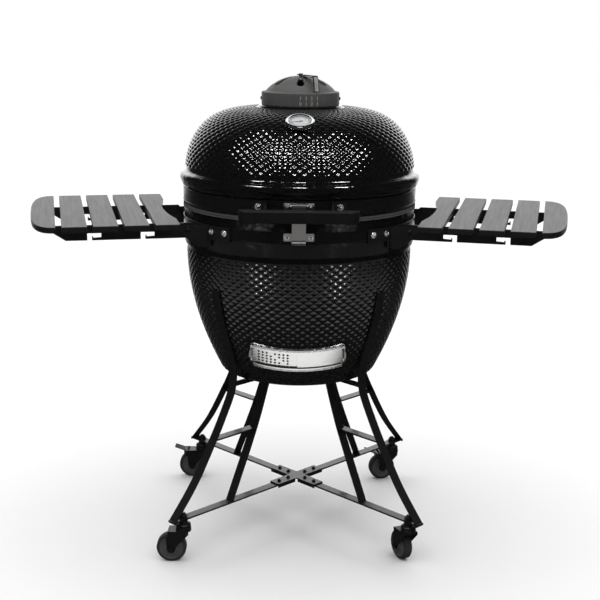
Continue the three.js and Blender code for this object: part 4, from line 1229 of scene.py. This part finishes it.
def fork_parts(brake):
    crown = plate([(38, 20), *arc(0, 0, 20, 90, 270), (38, -20)], 81, 84)
    race = lathe([(7, 83), (19, 83), (19.6, 84.5), (19.6, 90), (18.4, 92.2), (7, 92.2)], 48)
    axle_x, axle_z = WHEEL["trail"], WHEEL["radius"]
    reach = 53 if brake else 38
    cheek = [(-14, 84), (-14, 76), (axle_x - 12, 42), *arc(axle_x, axle_z, 11, 180, 360),
             (axle_x + 13, 66), (reach, 74), (reach, 84)]
    cheeks = [plate(cheek, *span(side, 17, 20), "xzy") for side in (-1, 1)]
    at = lambda y: (axle_x, y, axle_z)
    axle = merged([rod(5, at(-21), at(21)), rod(7.5, at(-25), at(-20), 6), rod(7.5, at(20), at(25), 6)])
    king = ring(6.8, 9, 80, 85, 32)
    return merged([crown, *cheeks, race, king]), axle


def brake_shape():
    lever = plate([(44, 80), (47, 83.5), (56, 87.5), (80, 95), (81.5, 92.5), (57, 84), (50, 79.5)],
                  -14, 14, "xzy")
    ribs = [plate([(52, 85), (79, 94.6), (79.6, 96.2), (52, 86.6)], y - 1.2, y + 1.2, "xzy")
            for y in (-9, -3, 3, 9)]
    cam = plate([(43, 77), (49.5, 72.2), (52, 72.8), (51.5, 79)], -9, 9, "xzy")
    barrel = rod(4.8, (47, -16, 79), (47, 16, 79))
    return merged([lever, cam, barrel] + ribs)


def build_caster(place, angle, heading, brake):
    stem = around(STEM_RADIUS, angle + 90)
    put = lambda shape: shape.turned("Z", heading).moved(*stem)
    wheel = lambda shape: put(shape.moved(WHEEL["trail"], 0, WHEEL["radius"]))
    hub, tread = wheel_parts()
    body = "wheel_" + place
    build(body + "_hub", wheel(hub), WHEEL_BLACK, body, [body])
    build(body + "_tread", wheel(tread), TREAD, body)
    fork, axle = fork_parts(brake)
    body = "fork_" + place
    build(body + "_steel", put(fork), COATED, body, [body], bevel=0.7)
    build(body + "_axle", put(axle), COATED, body, bevel=0.5)
    if brake:
        pin = rod(2.6, (47, -21, 79), (47, 21, 79))
        build(body + "_brake_pin", put(pin), ZINC, body, bevel=0.3)
        body = "brake_" + place
        build(body + "_pedal", put(brake_shape()), WHEEL_BLACK, body, [body], bevel=0.8)


# ---------------------------------------------------------------- studio


def build_studio():
    floor_paint = Paint("pale_floor", roughness=0.6, specular=0.25)
    floor_paint.set(color=floor_paint.mix(floor_paint.noise(1.2, detail=2), 0.86, 0.88))
    mesh = bpy.data.meshes.new("floor")
    mesh.from_pydata([(-9, -9, 0), (9, -9, 0), (9, 9, 0), (-9, 9, 0)], [], [(0, 1, 2, 3)])
    mesh.materials.append(floor_paint.material)
    floor = added("floor", mesh)
    floor.visible_glossy = False

    camera_data = bpy.data.cameras.new("camera")
    camera_data.sensor_width = 36
    camera_data.lens = CAMERA["lens"]
    camera = added("camera", camera_data)
    camera.location = CAMERA["place"]
    turn = Matrix.Rotation(math.radians(CAMERA["tilt"]), 3, "X")
    roll = Matrix.Rotation(math.radians(CAMERA["roll"]), 3, "Z")
    camera.rotation_euler = (turn @ roll).to_euler()
    bpy.context.scene.camera = camera

    rig = added("light_rig")
    follow = rig.constraints.new("COPY_ROTATION")
    follow.target = camera
    follow.use_x = follow.use_y = False
    for light in softboxes():
        add_light(rig, *light)
    build_world(camera)
    scene = bpy.context.scene
    scene.view_settings.view_transform = "Standard"
    scene.view_settings.look = "None"


def softboxes():
    """Name, azimuth, elevation, distance, size, radiance, then the pieces it shows on or not."""
    steel = [f"draft_{part}_steel" for part in ("frame", "screen", "door")]
    glazed = ["lid_shell", "bowl_shell"]
    carded = [*glazed, *steel, "gauge_bezel"]
    bright = ["latch_strap", "latch_clamp", "latch_clamp_bolts", "latch_keeper", "latch_keeper_bolts"]
    for name, _ in SIDES:
        bright += [f"handle_arm_{name}_bolt", f"{name}_bracket_front_bolts"]
    bars = ["cross_plate_steel"] + [f"leg_{corner[0]}_bars" for corner in CORNERS]
    lights = []
    for name, azimuth, elevation in (("key_left", -42, 36), ("key_front", 0, 40), ("key_right", 42, 36)):
        lights.append((name, azimuth, elevation, 3.0, (0.52, 0.26), 60.0, glazed))
        lights.append((name + "_soft", azimuth, elevation, 3.0, (0.52, 0.26), 14.0, (), carded))
    for name, azimuth in (("low_left", -38), ("low_right", 38)):
        lights.append((name, azimuth, 14, 3.0, (0.5, 0.3), 70.0, ["bowl_shell"]))
    for name, azimuth in (("panel_left", -60), ("panel_front", 0), ("panel_right", 60)):
        lights.append((name, azimuth, -10, 1.6, (2.0, 0.85), 0.55, ["bowl_shell", *bright]))
    return lights + [
        ("floor_card", 0, -47, 0.8, (1.3, 0.34), 1.15, steel),
        ("gauge_card", 180, 62, 1.5, (2.6, 1.5), 1.0, ["gauge_bezel"]),
        ("gauge_glow", 0, 25, 2.0, (0.9, 0.5), 1.6, ["gauge_bezel"]),
        ("back_card", 180, 8, 2.33, (2.4, 0.8), 0.5, bars),
    ]


def add_light(rig, name, azimuth, elevation, distance, size, radiance, seen_by=(), unseen_by=()):
    """A softbox that only shows as a reflection, on all pieces, the named ones or the others."""
    data = bpy.data.lights.new(name, "AREA")
    data.shape = "RECTANGLE"
    data.size, data.size_y = size
    data.energy = radiance * math.pi * size[0] * size[1]
    light = added(name, data)
    e = math.radians(elevation)
    x, y, _ = around(distance * math.cos(e), azimuth)
    light.location = (x, y, RIG_HEIGHT + distance * math.sin(e))
    aim = Vector((0, 0, RIG_HEIGHT)) - light.location
    light.rotation_euler = aim.to_track_quat("-Z", "Y").to_euler()
    light.parent = rig
    light.visible_diffuse = light.visible_camera = False
    if seen_by or unseen_by:
        receivers = bpy.data.collections.new(name + "_receivers")
        for piece in (*seen_by, *unseen_by):
            receivers.objects.link(bpy.data.objects[piece])
        light.light_linking.receiver_collection = receivers
        if unseen_by:
            for item in receivers.collection_objects:
                item.light_linking.link_state = "EXCLUDE"


def build_world(camera):
    """A wide soft light overhead. Reflections see a bright backdrop and a dark camera side."""
    world = bpy.data.worlds.new("studio")
    bpy.context.scene.world = world
    world.use_nodes = True
    sky = Nodes(world.node_tree)
    mapping = sky.node("Mapping", {"vector_type": "TEXTURE"},
                       Vector=sky.node("TexCoord").outputs["Generated"])
    turn = mapping.inputs["Rotation"].driver_add("default_value", 2).driver
    turn.type = "SUM"
    variable = turn.variables.new()
    variable.type = "TRANSFORMS"
    variable.targets[0].id = camera
    variable.targets[0].transform_type = "ROT_Z"
    variable.targets[0].transform_space = "WORLD_SPACE"

    def ramp(direction, start, stop, low, high):
        along = sky.node("VectorMath", {"operation": "DOT_PRODUCT"})
        sky.put(along, 0, mapping.outputs[0])
        sky.put(along, 1, direction)
        return sky.range(along.outputs["Value"], start, stop, low, high, "SMOOTHSTEP")

    def choose(flag, otherwise, chosen):
        node = sky.node("Mix", Factor=path.outputs[flag])
        sky.put(node, "A", otherwise)
        sky.put(node, "B", chosen)
        return node.outputs["Result"]

    path = sky.node("LightPath")
    overhead = ramp((0, 0, 1), 0.3, 0.95, 0.0, WORLD["overhead"])
    behind = ramp((0, 1, 0.3), 0.7, 0.96, WORLD["front"], WORLD["backdrop"])
    backdrop = sky.math("MULTIPLY", behind, ramp((0, 0, 1), 0.34, 0.6, 1.0, 0.12))
    background = sky.tree.nodes["Background"]
    sky.put(background, "Color", 1.0)
    seen = choose("Is Glossy Ray", overhead, backdrop)
    sky.put(background, "Strength", choose("Is Camera Ray", seen, 1.0))


# ---------------------------------------------------------------- the grill

build_lid()
build_bowl()
build_bands()
build_inside()
build_hinge()
build_handle()
build_latch()
build_gauge()
build_vent()
build_draft()
for side_name, side_sign in SIDES:
    build_shelf(side_name, side_sign)
build_cross_plate()
for corner, leg_angle, heading, has_brake in CORNERS:
    build_leg(corner, leg_angle)
    build_caster(corner, leg_angle, heading, has_brake)
build_studio()
